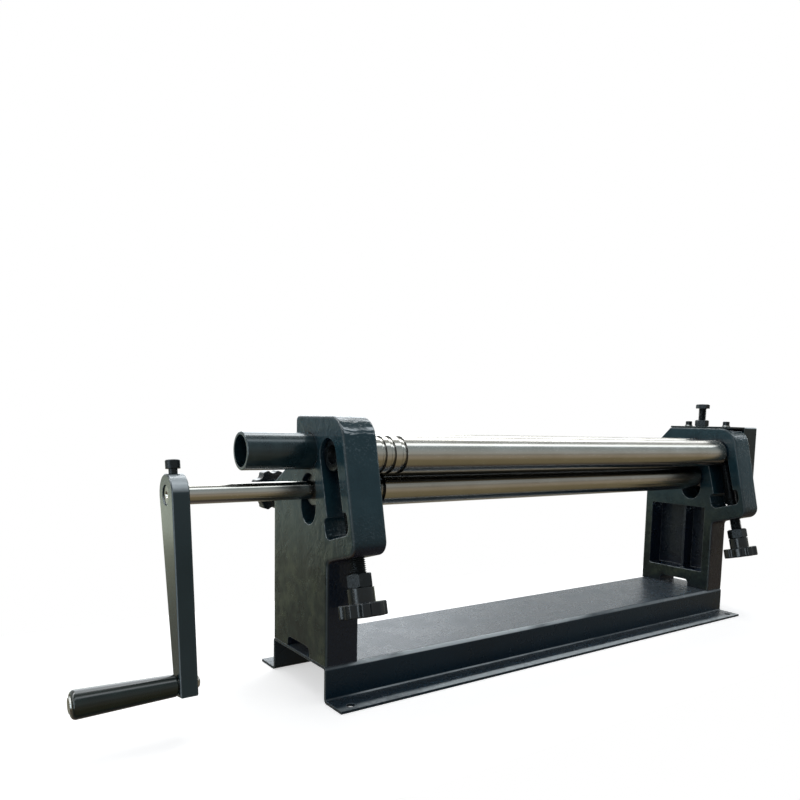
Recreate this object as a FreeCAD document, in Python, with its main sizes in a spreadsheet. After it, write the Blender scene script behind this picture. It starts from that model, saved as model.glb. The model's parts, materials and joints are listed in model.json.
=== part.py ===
import FreeCAD, Part

import math
import os
import re

import Sketcher

# A hand-cranked three-roll slip roll for thin sheet. The frame stands on its base at Z 0 with
# the rolls along X, the feed side toward -Y and the gears at +X. Millimetres and degrees.
SIZES = {
    # Rolls and their layout
    "clear_length": 625,
    "roll_diameter": 39,
    "roll_end_gap": 1.5,
    "roll_chamfer": 1.5,
    "journal_diameter": 19,
    "nip_gap": 1,
    "bending_gap": 2,
    "bending_drop": 2,
    "upper_axis_back": -22,
    "upper_axis_height": 254,
    "wire_groove_first": 15.5,
    "wire_groove_second": 26.1,
    "wire_groove_third": 39.6,
    "wire_groove_radius": 2.3,
    "wire_groove_step": 0.45,
    # Base channel
    "base_height": 38,
    "base_sheet": 3,
    "base_bend": 2,
    "base_flange": 33,
    "mount_hole": 9,
    "mount_hole_inset": 16,
    "mount_hole_reach": 23,
    # Side frames
    "frame_thickness": 37.5,
    "column_half_depth": 63,
    "top_rise": 36,
    "slot_tilt": 15,
    "underside_drop": 103,
    "nose_reach": 29.5,
    "nose_top_reach": 26,
    "nose_bottom_radius": 14,
    "nose_top_radius": 26,
    "corner_radius": 6,
    "edge_radius": 3,
    "foot_notch_width": 52,
    "foot_notch_height": 11,
    "recess_half_width": 49,
    "recess_foot": 27.5,
    "recess_height": 101.5,
    "recess_depth": 27,
    "recess_corner": 2,
    "recess_rib": 3.5,
    "recess_rib_step": 6,
    "recess_rib_back": -10,
    "slot_clearance": 0.3,
    "bending_slot_length": 60,
    "chamber_bottom": 82,
    "chamber_ledge": 7,
    "chamber_radius": 8,
    "lower_slot_rise": 1,
    "lower_slot_drop": 19,
    "hook_reach": 30,
    "mouth_height": 23,
    "lip_reach": 40,
    "ramp_drop": 26,
    "shoulder_reach": 45.5,
    # Bearings and fits
    "bush_diameter": 32.4,
    "bush_inset": 1,
    "bush_recess": 5,
    "running_fit": 0.1,
    "screw_fit": 0.1,
    "upper_bush_play": 0.1,
    "clamp_lift": 3,
    "bending_journal_recess": 12,
    # Release sleeve
    "sleeve_diameter": 37.6,
    "sleeve_bore": 31.6,
    "sleeve_reach": 71.7,
    "sleeve_neck": 31,
    "upper_journal_recess": 10,
    # Gears
    "gear_teeth": 20,
    "gear_width": 20,
    "gear_standoff": 2,
    "gear_addendum": 0.8,
    "gear_dedendum": 1.3,
    "gear_backlash": 0.6,
    "pressure_angle": 20,
    "key_width": 6,
    "key_length": 18,
    "key_seat": 3.5,
    "circlip_thickness": 1.2,
    "circlip_seat": 0.5,
    "circlip_band": 3,
    "shaft_end": 4,
    # Gear cover
    "cover_sheet": 2.5,
    "cover_front": 62,
    "cover_back": 48,
    "cover_drop": 86,
    "cover_flange": 36,
    "cover_gap": 6.5,
    "cover_screw": 6,
    "cover_screw_back": 23.6,
    "cover_screw_front": 42.5,
    "cover_screw_grip": 11,
    # Hexagon bolts and nuts
    "frame_bolt": 10,
    "frame_bolt_spread": 44,
    "frame_bolt_grip": 20,
    "clamp_bolt": 12,
    "clamp_bolt_rise": 28,
    "clamp_head_height": 6.5,
    "clamp_nut_height": 10,
    "washer_thickness": 2,
    # Crank
    "crank_standoff": 126,
    "crank_thickness": 16,
    "crank_boss": 19.5,
    "crank_tip_half_width": 9.25,
    "crank_length": 172,
    "crank_end": 11,
    "crank_angle": 9,
    "crank_screw": 8,
    "crank_screw_gap": 4.5,
    "shaft_shy": 1,
    "grip_gap": 1,
    "grip_length": 86,
    "grip_small": 20,
    "grip_large": 25.2,
    "spindle_diameter": 10,
    "spindle_head": 15.5,
    "spindle_head_depth": 3.5,
    "spindle_end": 6,
    "spindle_nut_height": 3.2,
    # Adjusters under the nose, which lift the bending roll
    "bending_screw": 16,
    "bending_exposed": 15.3,
    "bending_nut_height": 14,
    "bending_nut_flats": 24,
    # Adjusters behind, which lift the lower roll on wedge pins
    "wedge_angle": 45,
    "wedge_pin": 13.6,
    "wedge_pin_fit": 0.3,
    "wedge_drop": 12,
    "wedge_gap": 0.3,
    "wedge_pin_end": 24,
    "wedge_bore_end": 30,
    "lower_screw": 12,
    "lower_exposed": 19,
    "lower_nut_height": 10,
    "lower_nut_flats": 19,
    # Star knobs on both kinds of adjuster
    "hub_diameter": 27,
    "hub_height": 14.5,
    "knob_diameter": 47.5,
    "bending_knob_height": 14,
    "lower_knob_height": 14,
    "knob_lobes": 8,
    "scallop_radius": 6,
    "scallop_offset": 2.5,
    "knob_edge": 1.5,
    "knob_seat": 8,
}

# Sizes that follow from the driving ones
DERIVED = {
    "inner_face": "clear_length / 2",
    "outer_face": "inner_face + frame_thickness",
    "frame_middle": "inner_face + frame_thickness / 2",
    "roll_radius": "roll_diameter / 2",
    "roll_end": "inner_face - roll_end_gap",
    "journal_radius": "journal_diameter / 2",
    "upper_z": "upper_axis_height",
    "lower_z": "upper_axis_height - roll_diameter - nip_gap",
    "bending_z": "upper_axis_height - bending_drop",
    "bending_y": "upper_axis_back - sqrt((roll_diameter + bending_gap)^2 - bending_drop^2)",
    "frame_top": "upper_axis_height + top_rise",
    "slot_radius": "bush_diameter / 2 + slot_clearance",
    "chamber_half_width": "slot_radius + chamber_ledge",
    "seat_radius": "sleeve_diameter / 2 + running_fit",
    "bearing_bore": "journal_radius + running_fit",
    "bush_start": "inner_face + bush_inset",
    "bush_end": "outer_face - bush_recess",
    "gear_start": "outer_face + gear_standoff",
    "gear_end": "gear_start + gear_width",
    "gear_shaft_end": "gear_end + shaft_end",
    "cover_outer": "gear_shaft_end + cover_gap + cover_sheet",
    "cover_top": "frame_top + cover_sheet",
    "upper_bush_radius": "slot_radius - upper_bush_play",
    "crank_inner": "outer_face + crank_standoff",
    "crank_outer": "crank_inner + crank_thickness",
    "grip_start": "crank_outer + grip_gap",
    "grip_end": "grip_start + grip_length",
    "wedge_z": "lower_z - wedge_drop",
    "wedge_y": "upper_axis_back + (bush_diameter / 2 + wedge_gap) / cos(wedge_angle) - wedge_drop",
}

TOLERANCE = 0.01
ALONG_X = FreeCAD.Vector(1, 0, 0)
ALONG_Z = FreeCAD.Vector(0, 0, 1)
SIDES = {"left": -1, "right": 1}

doc = FreeCAD.newDocument("SlipRoll")
sheet = doc.addObject("Spreadsheet::Sheet", "Sizes")
for row, (alias, value) in enumerate(SIZES.items(), 1):
    sheet.set(f"A{row}", str(value))
    sheet.setAlias(f"A{row}", alias)
doc.recompute()

subparts = []


def formula(text):
    """The text with every named size written the way the sheet knows it."""
    def known(match):
        word = match.group(0)
        if word in SIZES:
            return "Sizes." + word
        if word in DERIVED:
            return "(" + formula(DERIVED[word]) + ")"
        return word
    return re.sub(r"[a-z_]+", known, text)


def number(text):
    """The present value of a formula."""
    return float(sheet.evalExpression(formula(text)))


def bind(item, path, text):
    item.setExpression(path, formula(text))


def turn_and_move(item, prefix, axis, x, y, z, turn):
    """Place an item, or the attachment of a sketch, with every coordinate bound to the sheet."""
    where = FreeCAD.Vector(number(x), number(y), number(z))
    placement = FreeCAD.Placement(where, FreeCAD.Rotation(axis, number(turn)))
    setattr(item, prefix, placement)
    for letter, text in (("x", x), ("y", y), ("z", z)):
        bind(item, f"{prefix}.Base.{letter}", text)
    if turn != "0":
        bind(item, f"{prefix}.Rotation.Angle", turn)


def new_body(label, x="0", y="0", z="0", turn="0", kept=True):
    """A body at a place of its own, turned about the X direction."""
    body = doc.addObject("PartDesign::Body", "Body_" + label)
    body.Label = label
    turn_and_move(body, "Placement", ALONG_X, x, y, z, turn)
    if kept:
        subparts.append(body)
    return body


def group(label, bodies):
    """Identical loose pieces in one sub-part."""
    compound = doc.addObject("Part::Compound", "Group_" + label)
    compound.Label = label
    compound.Links = bodies
    doc.recompute()
    subparts.append(compound)
    return compound


def new_sketch(body, name, plane, x="0", y="0", out="0", turn="0", axis=ALONG_Z):
    """A sketch on one of the body's own planes, moved within it and out along its normal."""
    sketch = body.newObject("Sketcher::SketchObject", f"{body.Label}_{name}")
    origin_plane = next(item for item in body.Origin.OriginFeatures if item.Role == plane)
    sketch.AttachmentSupport = (origin_plane, "")
    sketch.MapMode = "FlatFace"
    turn_and_move(sketch, "AttachmentOffset", axis, x, y, out, turn)
    return sketch


def hold(sketch, kind, geometry, point, text):
    """Bind one coordinate of a sketch point."""
    index = sketch.addConstraint(Sketcher.Constraint(kind, geometry, point, number(text)))
    sketch.setExpression(f"Constraints[{index}]", formula(text))


def hold_radius(sketch, geometry, text):
    index = sketch.addConstraint(Sketcher.Constraint("Radius", geometry, number(text)))
    sketch.setExpression(f"Constraints[{index}]", formula(text))


def hold_point(sketch, geometry, point, place):
    hold(sketch, "DistanceX", geometry, point, place[0])
    hold(sketch, "DistanceY", geometry, point, place[1])


def point_at(place):
    return FreeCAD.Vector(number(place[0]), number(place[1]), 0)


def draw_polygon(sketch, corners):
    """A closed outline of straight lines through the corners."""
    first = sketch.GeometryCount
    count = len(corners)
    for index, corner in enumerate(corners):
        following = corners[(index + 1) % count]
        sketch.addGeometry(Part.LineSegment(point_at(corner), point_at(following)))
    for index, corner in enumerate(corners):
        line = first + index
        following = first + (index + 1) % count
        sketch.addConstraint(Sketcher.Constraint("Coincident", line, 2, following, 1))
        hold_point(sketch, line, 1, corner)


def draw_rectangle(sketch, left, bottom, right, top):
    draw_polygon(sketch, [(left, bottom), (right, bottom), (right, top), (left, top)])


def draw_hexagon(sketch, flats):
    corner = f"({flats}) / sqrt(3)"
    draw_polygon(sketch, [
        (f"{corner} * cos({60 * step})", f"{corner} * sin({60 * step})") for step in range(6)
    ])


def draw_circle(sketch, centre, radius):
    circle = Part.Circle(point_at(centre), FreeCAD.Vector(0, 0, 1), number(radius))
    index = sketch.addGeometry(circle)
    hold_point(sketch, index, 3, centre)
    hold_radius(sketch, index, radius)


def draw_arc(sketch, centre, radius, start, finish):
    """An arc from one direction to another, in degrees, with its centre and radius held."""
    circle = Part.Circle(point_at(centre), FreeCAD.Vector(0, 0, 1), number(radius))
    index = sketch.addGeometry(
        Part.ArcOfCircle(circle, math.radians(start), math.radians(finish)))
    hold_point(sketch, index, 3, centre)
    hold_radius(sketch, index, radius)
    return index


def draw_obround(sketch, low, high, radius):
    """An upright slot outline between two centres."""
    upper = draw_arc(sketch, high, radius, 0, 180)
    lower = draw_arc(sketch, low, radius, 180, 360)
    flank = number(radius)
    for side in SIDES.values():
        offset = FreeCAD.Vector(side * flank, 0, 0)
        line = sketch.addGeometry(
            Part.LineSegment(point_at(low) + offset, point_at(high) + offset))
        lower_end = 2 if side > 0 else 1
        upper_end = 1 if side > 0 else 2
        sketch.addConstraint(Sketcher.Constraint("Tangent", line, 1, lower, lower_end))
        sketch.addConstraint(Sketcher.Constraint("Tangent", line, 2, upper, upper_end))


def compute(feature):
    """Recompute the document and stop if the feature failed."""
    doc.recompute()
    if "Invalid" in feature.State or "Error" in feature.State:
        raise RuntimeError(f"{feature.Name} did not compute: {feature.getStatusString()}")
    return feature


def add_feature(body, kind, sketch, properties):
    """Add a feature that is made from a sketch."""
    feature = body.newObject("PartDesign::" + kind, f"{sketch.Name}_{kind}")
    feature.Profile = sketch
    for key, entry in properties.items():
        setattr(feature, key, entry)
    return feature


def pad(body, sketch, length, both_ways=False, backward=False):
    feature = add_feature(body, "Pad", sketch, {"Reversed": backward})
    if both_ways:
        feature.SideType = "Symmetric"
    bind(feature, "Length", length)
    return compute(feature)


def compute_cut(body, before, feature):
    """A cut that points away from the solid removes nothing and is an error."""
    compute(feature)
    if body.Shape.Volume > before - TOLERANCE:
        raise RuntimeError(feature.Name + " removes nothing")
    return feature


def pocket(body, sketch, length, backward=False):
    before = body.Shape.Volume
    feature = add_feature(body, "Pocket", sketch, {"Reversed": backward})
    bind(feature, "Length", length)
    return compute_cut(body, before, feature)


def pocket_through(body, sketch):
    before = body.Shape.Volume
    feature = add_feature(body, "Pocket", sketch, {"Type": "ThroughAll", "SideType": "Symmetric"})
    return compute_cut(body, before, feature)


def revolve(body, sketch, axis):
    feature = add_feature(body, "Revolution", sketch, {"ReferenceAxis": (sketch, [axis])})
    feature.Angle = 360
    return compute(feature)


def groove(body, sketch, axis):
    before = body.Shape.Volume
    feature = add_feature(body, "Groove", sketch, {"ReferenceAxis": (sketch, [axis])})
    feature.Angle = 360
    return compute_cut(body, before, feature)


def polar_pattern(body, feature, sketch, count):
    """Repeat a feature around the sketch's normal."""
    pattern = body.newObject("PartDesign::PolarPattern", feature.Name + "_Pattern")
    pattern.Originals = [feature]
    pattern.Axis = (sketch, ["N_Axis"])
    pattern.Angle = 360
    bind(pattern, "Occurrences", count)
    body.Tip = pattern
    return compute(pattern)


def soften(body, name, kind, wanted, size):
    """Fillet or chamfer the edges of the body's last feature that a test picks."""
    tip = body.Tip
    names = [f"Edge{index}" for index, edge in enumerate(tip.Shape.Edges, 1) if wanted(edge)]
    if not names:
        raise RuntimeError(f"{body.Label} has no edge for {name}")
    feature = body.newObject("PartDesign::" + kind, f"{body.Label}_{name}")
    feature.Base = (tip, names)
    bind(feature, "Radius" if kind == "Fillet" else "Size", size)
    return compute(feature)


def along_x_through(corners):
    """A test for straight edges along X through any of the (Y, Z) corners."""
    places = [(number(y), number(z)) for y, z in corners]

    def wanted(edge):
        ends = edge.Vertexes
        return len(ends) == 2 and any(
            all(math.hypot(end.Y - y, end.Z - z) < TOLERANCE for end in ends)
            for y, z in places)
    return wanted


def along_z_through(corners):
    """A test for straight edges along Z through any of the (X, Y) corners."""
    places = [(number(x), number(y)) for x, y in corners]

    def wanted(edge):
        ends = edge.Vertexes
        return len(ends) == 2 and any(
            all(math.hypot(end.X - x, end.Y - y) < TOLERANCE for end in ends)
            for x, y in places)
    return wanted


def flat_at_z(heights):
    """A test for edges that lie wholly at one of the heights."""
    levels = [number(height) for height in heights]

    def wanted(edge):
        box = edge.BoundBox
        return box.ZLength < TOLERANCE and any(abs(box.ZMin - z) < TOLERANCE for z in levels)
    return wanted


def turned_body(label, profile, x="0", y="0", z="0", turn="0", kept=True, plane="XY_Plane"):
    """A body of revolution: about X for a profile on XY, about Z for one on XZ."""
    body = new_body(label, x, y, z, turn, kept)
    sketch = new_sketch(body, "profile", plane)
    draw_polygon(sketch, profile)
    revolve(body, sketch, "H_Axis" if plane == "XY_Plane" else "V_Axis")
    return body


def ring_profile(inner, outer, start, finish, chamfer="0.5"):
    """Half section of a ring along X, chamfered outside."""
    return [
        (start, inner),
        (start, f"{outer} - {chamfer}"),
        (f"{start} + {chamfer}", outer),
        (f"{finish} - {chamfer}", outer),
        (finish, f"{outer} - {chamfer}"),
        (finish, inner),
    ]


# --- Base channel ---------------------------------------------------------------------------

def base_section():
    """Half of the hat section, from the middle of the top plate out to the flange edge."""
    wall = "column_half_depth"
    return [
        ("0", "base_height - base_sheet"),
        (f"{wall} - base_sheet", "base_height - base_sheet"),
        (f"{wall} - base_sheet", "0"),
        (f"{wall} + base_flange", "0"),
        (f"{wall} + base_flange", "base_sheet"),
        (wall, "base_sheet"),
        (wall, "base_height"),
        ("0", "base_height"),
    ]


def build_base():
    """Bent sheet channel, open below and at both ends, that the machine is bolted down by."""
    body = new_body("base_channel")
    right_half = base_section()
    left_half = [(f"-({y})", z) for y, z in reversed(right_half[1:-1])]
    section = new_sketch(body, "section", "YZ_Plane")
    draw_polygon(section, right_half[1:-1] + left_half)
    pad(body, section, "2 * outer_face", both_ways=True)
    wall = "column_half_depth"
    inside = [("base_height - base_sheet", f"{wall} - base_sheet"), ("base_sheet", wall)]
    outside = [("base_height", wall), ("0", f"{wall} - base_sheet")]
    for name, bends, radius in (
        ("inner_bends", inside, "base_bend"),
        ("outer_bends", outside, "base_bend + base_sheet"),
    ):
        corners = [(f"{sign}({y})", z) for z, y in bends for sign in ("", "-")]
        soften(body, name, "Fillet", along_x_through(corners), radius)
    holes = new_sketch(body, "mount_holes", "XY_Plane")
    frame_holes = new_sketch(body, "frame_holes", "XY_Plane")
    for side in SIDES.values():
        for row in SIDES.values():
            draw_circle(holes, (
                f"{side} * (outer_face - mount_hole_inset)",
                f"{row} * (column_half_depth + mount_hole_reach)"), "mount_hole / 2")
            draw_circle(frame_holes, (
                f"{side} * frame_middle", f"{row} * frame_bolt_spread"), "frame_bolt / 2 + 0.5")
    pocket_through(body, holes)
    pocket_through(body, frame_holes)


# --- Side frames ----------------------------------------------------------------------------

def nose_corner(drop, reach):
    """A point ahead of the bending slot, given down the slot and square to it."""
    y = f"bending_y - ({drop}) * sin(slot_tilt) - ({reach}) * cos(slot_tilt)"
    z = f"bending_z - ({drop}) * cos(slot_tilt) + ({reach}) * sin(slot_tilt)"
    return (y, z)


def rear_corners(side_name):
    """The top rear of a frame: an open hook on the left, a sloping shoulder on the right."""
    lip = "upper_z - mouth_height / 2"
    if side_name == "left":
        return [
            ("column_half_depth", f"{lip} - ramp_drop"),
            ("upper_axis_back + lip_reach", lip),
            ("upper_axis_back + hook_reach", lip),
            ("upper_axis_back + hook_reach", "frame_top"),
        ]
    shoulder = "upper_axis_back + shoulder_reach"
    return [
        ("column_half_depth", f"frame_top - column_half_depth + {shoulder}"),
        (shoulder, "frame_top"),
    ]


def build_frame(side_name):
    """Cast side frame: column, slanted nose, roll slots, and a lightening recess inside."""
    side = SIDES[side_name]
    outward = side > 0
    body = new_body(f"{side_name}_frame", x=f"{side} * inner_face")
    middle = f"{side} * frame_thickness / 2"

    underside = "(bending_y + column_half_depth - underside_drop * sin(slot_tilt))"
    throat = (
        "-column_half_depth",
        f"bending_z - underside_drop * cos(slot_tilt) + {underside} * tan(slot_tilt)")
    nose_foot = nose_corner("underside_drop", "nose_reach")
    nose_top = ("bending_y - nose_top_reach", "frame_top")
    rear = rear_corners(side_name)
    outline = new_sketch(body, "outline", "YZ_Plane")
    draw_polygon(outline, [
        ("-column_half_depth", "base_height"),
        ("column_half_depth", "base_height"),
        *rear,
        nose_top,
        nose_foot,
        throat,
    ])
    pad(body, outline, "frame_thickness", backward=not outward)
    soften(body, "nose_top", "Fillet", along_x_through([nose_top]), "nose_top_radius")
    soften(body, "nose_foot", "Fillet", along_x_through([nose_foot]), "nose_bottom_radius")
    outer_corners = [throat, *rear[:2], rear[-1]]
    soften(body, "corners", "Fillet", along_x_through(outer_corners), "corner_radius")
    base_level = number("base_height") + TOLERANCE

    def face_rim(edge):
        return edge.BoundBox.XLength < TOLERANCE and edge.BoundBox.ZMax > base_level
    soften(body, "face_rims", "Fillet", face_rim, "edge_radius")

    cut_foot_notch(body)
    cut_recess(body, outward)
    cut_bending_slot(body, middle)
    lower_slot = new_sketch(body, "lower_slot", "YZ_Plane")
    draw_obround(
        lower_slot, ("upper_axis_back", "lower_z - lower_slot_drop"),
        ("upper_axis_back", "lower_z + lower_slot_rise"), "slot_radius")
    pocket_through(body, lower_slot)
    if side_name == "left":
        cut_sleeve_seat(body)
    else:
        cut_clamped_bearing(body, middle)
    cut_wedge_bore(body, middle)

    bolt_holes = new_sketch(body, "bolt_holes", "XY_Plane", out="base_height")
    for row in SIDES.values():
        draw_circle(
            bolt_holes, (middle, f"{row} * frame_bolt_spread"), "frame_bolt / 2 + screw_fit")
    pocket(body, bolt_holes, "frame_bolt_grip + 2", backward=True)


def cut_foot_notch(body):
    """A shallow arch between the two feet of the column."""
    notch = new_sketch(body, "foot_notch", "YZ_Plane")
    draw_rectangle(
        notch, "-foot_notch_width / 2", "base_height - 5",
        "foot_notch_width / 2", "base_height + foot_notch_height")
    pocket_through(body, notch)
    corners = [(f"{row} * foot_notch_width / 2", "base_height + foot_notch_height")
               for row in SIDES.values()]
    soften(body, "notch_corners", "Fillet", along_x_through(corners), "corner_radius")


def cut_recess(body, outward):
    """Two open pockets in the inner face with a lower upright rib left between them."""
    bottom = "base_height + recess_foot"
    top = f"{bottom} + recess_height"
    recess = new_sketch(body, "recess", "YZ_Plane")
    draw_rectangle(recess, "-recess_half_width", bottom, "recess_half_width", top)
    pocket(body, recess, "recess_rib_step", backward=outward)
    bays = (
        ("front", "-recess_half_width", "recess_rib_back - recess_rib / 2"),
        ("rear", "recess_rib_back + recess_rib / 2", "recess_half_width"),
    )
    for name, start, finish in bays:
        bay = new_sketch(body, name + "_bay", "YZ_Plane")
        draw_rectangle(bay, start, bottom, finish, top)
        pocket(body, bay, "recess_depth", backward=outward)
        corners = [(y, z) for y in (start, finish) for z in (bottom, top)]
        soften(body, name + "_bay_corners", "Fillet", along_x_through(corners), "recess_corner")


def cut_bending_slot(body, middle):
    """The tilted slot of the bending roll, its rough chamber below, and the screw hole."""
    along_slot = {"x": "bending_y", "y": "bending_z", "turn": "-slot_tilt"}
    slot = new_sketch(body, "bending_slot", "YZ_Plane", **along_slot)
    draw_obround(slot, ("0", "-bending_slot_length"), ("0", "0"), "slot_radius")
    pocket_through(body, slot)
    chamber = new_sketch(body, "chamber", "YZ_Plane", **along_slot)
    draw_rectangle(
        chamber, "-chamber_half_width", "-chamber_bottom",
        "chamber_half_width", "-bending_slot_length")
    pocket_through(body, chamber)
    for name, drop, radius in (
        ("ledge", "bending_slot_length", "chamber_ledge * 0.7"),
        ("chamber", "chamber_bottom", "chamber_radius"),
    ):
        corners = [nose_corner(drop, f"{row} * chamber_half_width") for row in SIDES.values()]
        soften(body, name + "_corners", "Fillet", along_x_through(corners), radius)
    below = nose_corner("underside_drop + 20", "0")
    hole = new_sketch(
        body, "bending_screw_hole", "XY_Plane", x=middle, y=below[0], out=below[1],
        turn="-slot_tilt", axis=ALONG_X)
    draw_circle(hole, ("0", "0"), "bending_screw / 2 + screw_fit")
    pocket(body, hole, "underside_drop - chamber_bottom + 25", backward=True)


def cut_sleeve_seat(body):
    """Round seat for the release sleeve, open to the rear so that the roll can leave."""
    seat = new_sketch(body, "sleeve_seat", "YZ_Plane")
    draw_circle(seat, ("upper_axis_back", "upper_z"), "seat_radius")
    pocket_through(body, seat)
    mouth = new_sketch(body, "mouth", "YZ_Plane")
    draw_rectangle(
        mouth, "upper_axis_back", "upper_z - mouth_height / 2",
        "upper_axis_back + hook_reach + 1", "upper_z + mouth_height / 2")
    pocket_through(body, mouth)


def cut_clamped_bearing(body, middle):
    """Slot for the upper bearing, with the holes of its clamp bolt and the cover screws."""
    slot = new_sketch(body, "upper_slot", "YZ_Plane")
    draw_obround(
        slot, ("upper_axis_back", "upper_z"), ("upper_axis_back", "upper_z + clamp_lift"),
        "slot_radius")
    pocket_through(body, slot)
    clamp = new_sketch(body, "clamp_hole", "XY_Plane", out="frame_top")
    draw_circle(clamp, (middle, "upper_axis_back"), "clamp_bolt / 2 + screw_fit")
    pocket(body, clamp, "top_rise - clamp_lift")
    screws = new_sketch(body, "cover_screw_holes", "XY_Plane", out="frame_top")
    for y in cover_screw_rows():
        draw_circle(screws, (middle, y), "cover_screw / 2 + screw_fit")
    pocket(body, screws, "cover_screw_grip + 2")


def cut_wedge_bore(body, middle):
    """Stepped bore from the rear face into the lower slot for a wedge pin and its screw."""
    thread = new_sketch(
        body, "wedge_screw_hole", "XZ_Plane", x=middle, y="wedge_z", out="-column_half_depth")
    draw_circle(thread, ("0", "0"), "lower_screw / 2 + screw_fit")
    pocket(body, thread, "column_half_depth - wedge_bore_end + 1", backward=True)
    bore = new_sketch(
        body, "wedge_bore", "XZ_Plane", x=middle, y="wedge_z", out="-wedge_bore_end")
    draw_circle(bore, ("0", "0"), "wedge_pin / 2 + wedge_pin_fit")
    pocket(body, bore, "wedge_bore_end - upper_axis_back - slot_radius / 2", backward=True)


# --- Fasteners ------------------------------------------------------------------------------

def hexagon_body(label, flats, start, finish, place, kept=True):
    """A hexagon prism along the body's Z with both rims turned down."""
    body = new_body(label, kept=kept, **place)
    outline = new_sketch(body, "hexagon", "XY_Plane", out=start)
    draw_hexagon(outline, flats)
    pad(body, outline, f"({finish}) - ({start})")
    rim = new_sketch(body, "rims", "XZ_Plane")
    inner = f"0.95 * ({flats}) / 2"
    outer = f"0.65 * ({flats})"
    slope = f"({outer} - {inner}) * tan(30)"
    for level, sign in ((start, "+"), (finish, "-")):
        draw_polygon(rim, [
            (inner, level),
            (outer, level),
            (outer, f"{level} {sign} {slope}"),
        ])
    groove(body, rim, "V_Axis")
    return body


def add_shank(body, radius, start, finish, chamfer="0.8"):
    """A round shank along the body's Z, chamfered where it finishes."""
    sketch = new_sketch(body, "shank", "XZ_Plane")
    draw_polygon(sketch, [
        ("0", start),
        (radius, start),
        (radius, f"{finish} - ({chamfer})"),
        (f"{radius} - abs({chamfer})", finish),
        ("0", finish),
    ])
    revolve(body, sketch, "V_Axis")


def bore_through(body, radius):
    hole = new_sketch(body, "bore", "XY_Plane")
    draw_circle(hole, ("0", "0"), radius)
    pocket_through(body, hole)


def socket_screw(label, radius, grip, place, kept=True):
    """Cap screw standing on its head seat at Z 0, with a hexagon socket in the head."""
    head = f"{radius} * 2"
    body = turned_body(label, [
        ("0", "0"),
        (f"{radius} * 1.65", "0"),
        (f"{radius} * 1.65", f"{head} - 0.6"),
        (f"{radius} * 1.65 - 0.6", head),
        ("0", head),
    ], kept=kept, plane="XZ_Plane", **place)
    add_shank(body, radius, "0", f"-({grip})", chamfer="-0.6")
    socket = new_sketch(body, "socket", "XY_Plane", out=head)
    draw_hexagon(socket, f"{radius} * 1.65")
    pocket(body, socket, f"{radius} * 1.1")
    return body


def washer(label, bore, outer, place):
    return turned_body(label, [
        (bore, "0"),
        (outer, "0"),
        (outer, "washer_thickness"),
        (bore, "washer_thickness"),
    ], kept=False, plane="XZ_Plane", **place)


def build_frame_bolts():
    """Bolts and washers under the base plate that hold the side frames down."""
    bolts = []
    washers = []
    seat = "base_height - base_sheet - washer_thickness"
    for side_name, side in SIDES.items():
        for row_name, row in (("front", -1), ("rear", 1)):
            place = {
                "x": f"{side} * frame_middle", "y": f"{row} * frame_bolt_spread", "z": seat}
            bolt = hexagon_body(
                f"frame_bolt_{side_name}_{row_name}", "frame_bolt * 1.6", "-frame_bolt * 0.64",
                "0", place, kept=False)
            add_shank(
                bolt, "frame_bolt / 2", "0", "washer_thickness + base_sheet + frame_bolt_grip")
            bolts.append(bolt)
            washers.append(washer(
                f"frame_washer_{side_name}_{row_name}", "frame_bolt / 2 + 0.25", "frame_bolt",
                place))
    group("frame_bolts", bolts)
    group("frame_washers", washers)


# --- Gear cover and upper bearing -----------------------------------------------------------

def cover_screw_rows():
    """Front and rear places of the cover screws along the top of the right frame."""
    return ("upper_axis_back - cover_screw_front", "upper_axis_back + cover_screw_back")


def build_cover():
    """Folded sheet cover over the gears, with a flange lying on top of the right frame."""
    body = new_body("gear_cover", x="outer_face", y="upper_axis_back", z="cover_top")
    depth = "cover_outer - outer_face"
    front = "-cover_front"
    back = "cover_back"
    bottom = "-(cover_sheet + top_rise + cover_drop)"
    shell = new_sketch(body, "shell", "YZ_Plane")
    draw_rectangle(shell, front, bottom, back, "0")
    pad(body, shell, depth)
    rims = along_x_through([(front, "0"), (back, "0")])
    soften(body, "bends", "Fillet", rims, "cover_sheet")
    hollow = new_sketch(body, "hollow", "YZ_Plane")
    draw_rectangle(
        hollow, f"{front} + cover_sheet", f"{bottom} - 5", f"{back} - cover_sheet",
        "-cover_sheet")
    pocket(body, hollow, f"{depth} - cover_sheet", backward=True)
    flange = new_sketch(body, "flange", "XY_Plane")
    draw_rectangle(flange, "-cover_flange", front, "1", back)
    pad(body, flange, "cover_sheet", backward=True)
    flange_ends = along_z_through([("-cover_flange", y) for y in (front, back)])
    soften(body, "flange_corners", "Fillet", flange_ends, "corner_radius")
    holes = new_sketch(body, "screw_holes", "XY_Plane")
    middle = "-frame_thickness / 2"
    draw_circle(holes, (middle, "0"), "clamp_bolt / 2 + 0.5")
    for y in cover_screw_rows():
        draw_circle(holes, (middle, f"{y} - upper_axis_back"), "cover_screw / 2 + 0.3")
    pocket_through(body, holes)


def build_cover_screws():
    screws = []
    washers = []
    for name, y in zip(("front", "rear"), cover_screw_rows()):
        place = {"x": "frame_middle", "y": y, "z": "cover_top"}
        washers.append(washer(
            f"cover_washer_{name}", "cover_screw / 2 + 0.2", "cover_screw", place))
        place["z"] = "cover_top + washer_thickness"
        screws.append(socket_screw(
            f"cover_screw_{name}", "cover_screw / 2",
            "washer_thickness + cover_sheet + cover_screw_grip", place, kept=False))
    group("cover_screws", screws)
    group("cover_washers", washers)


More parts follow.
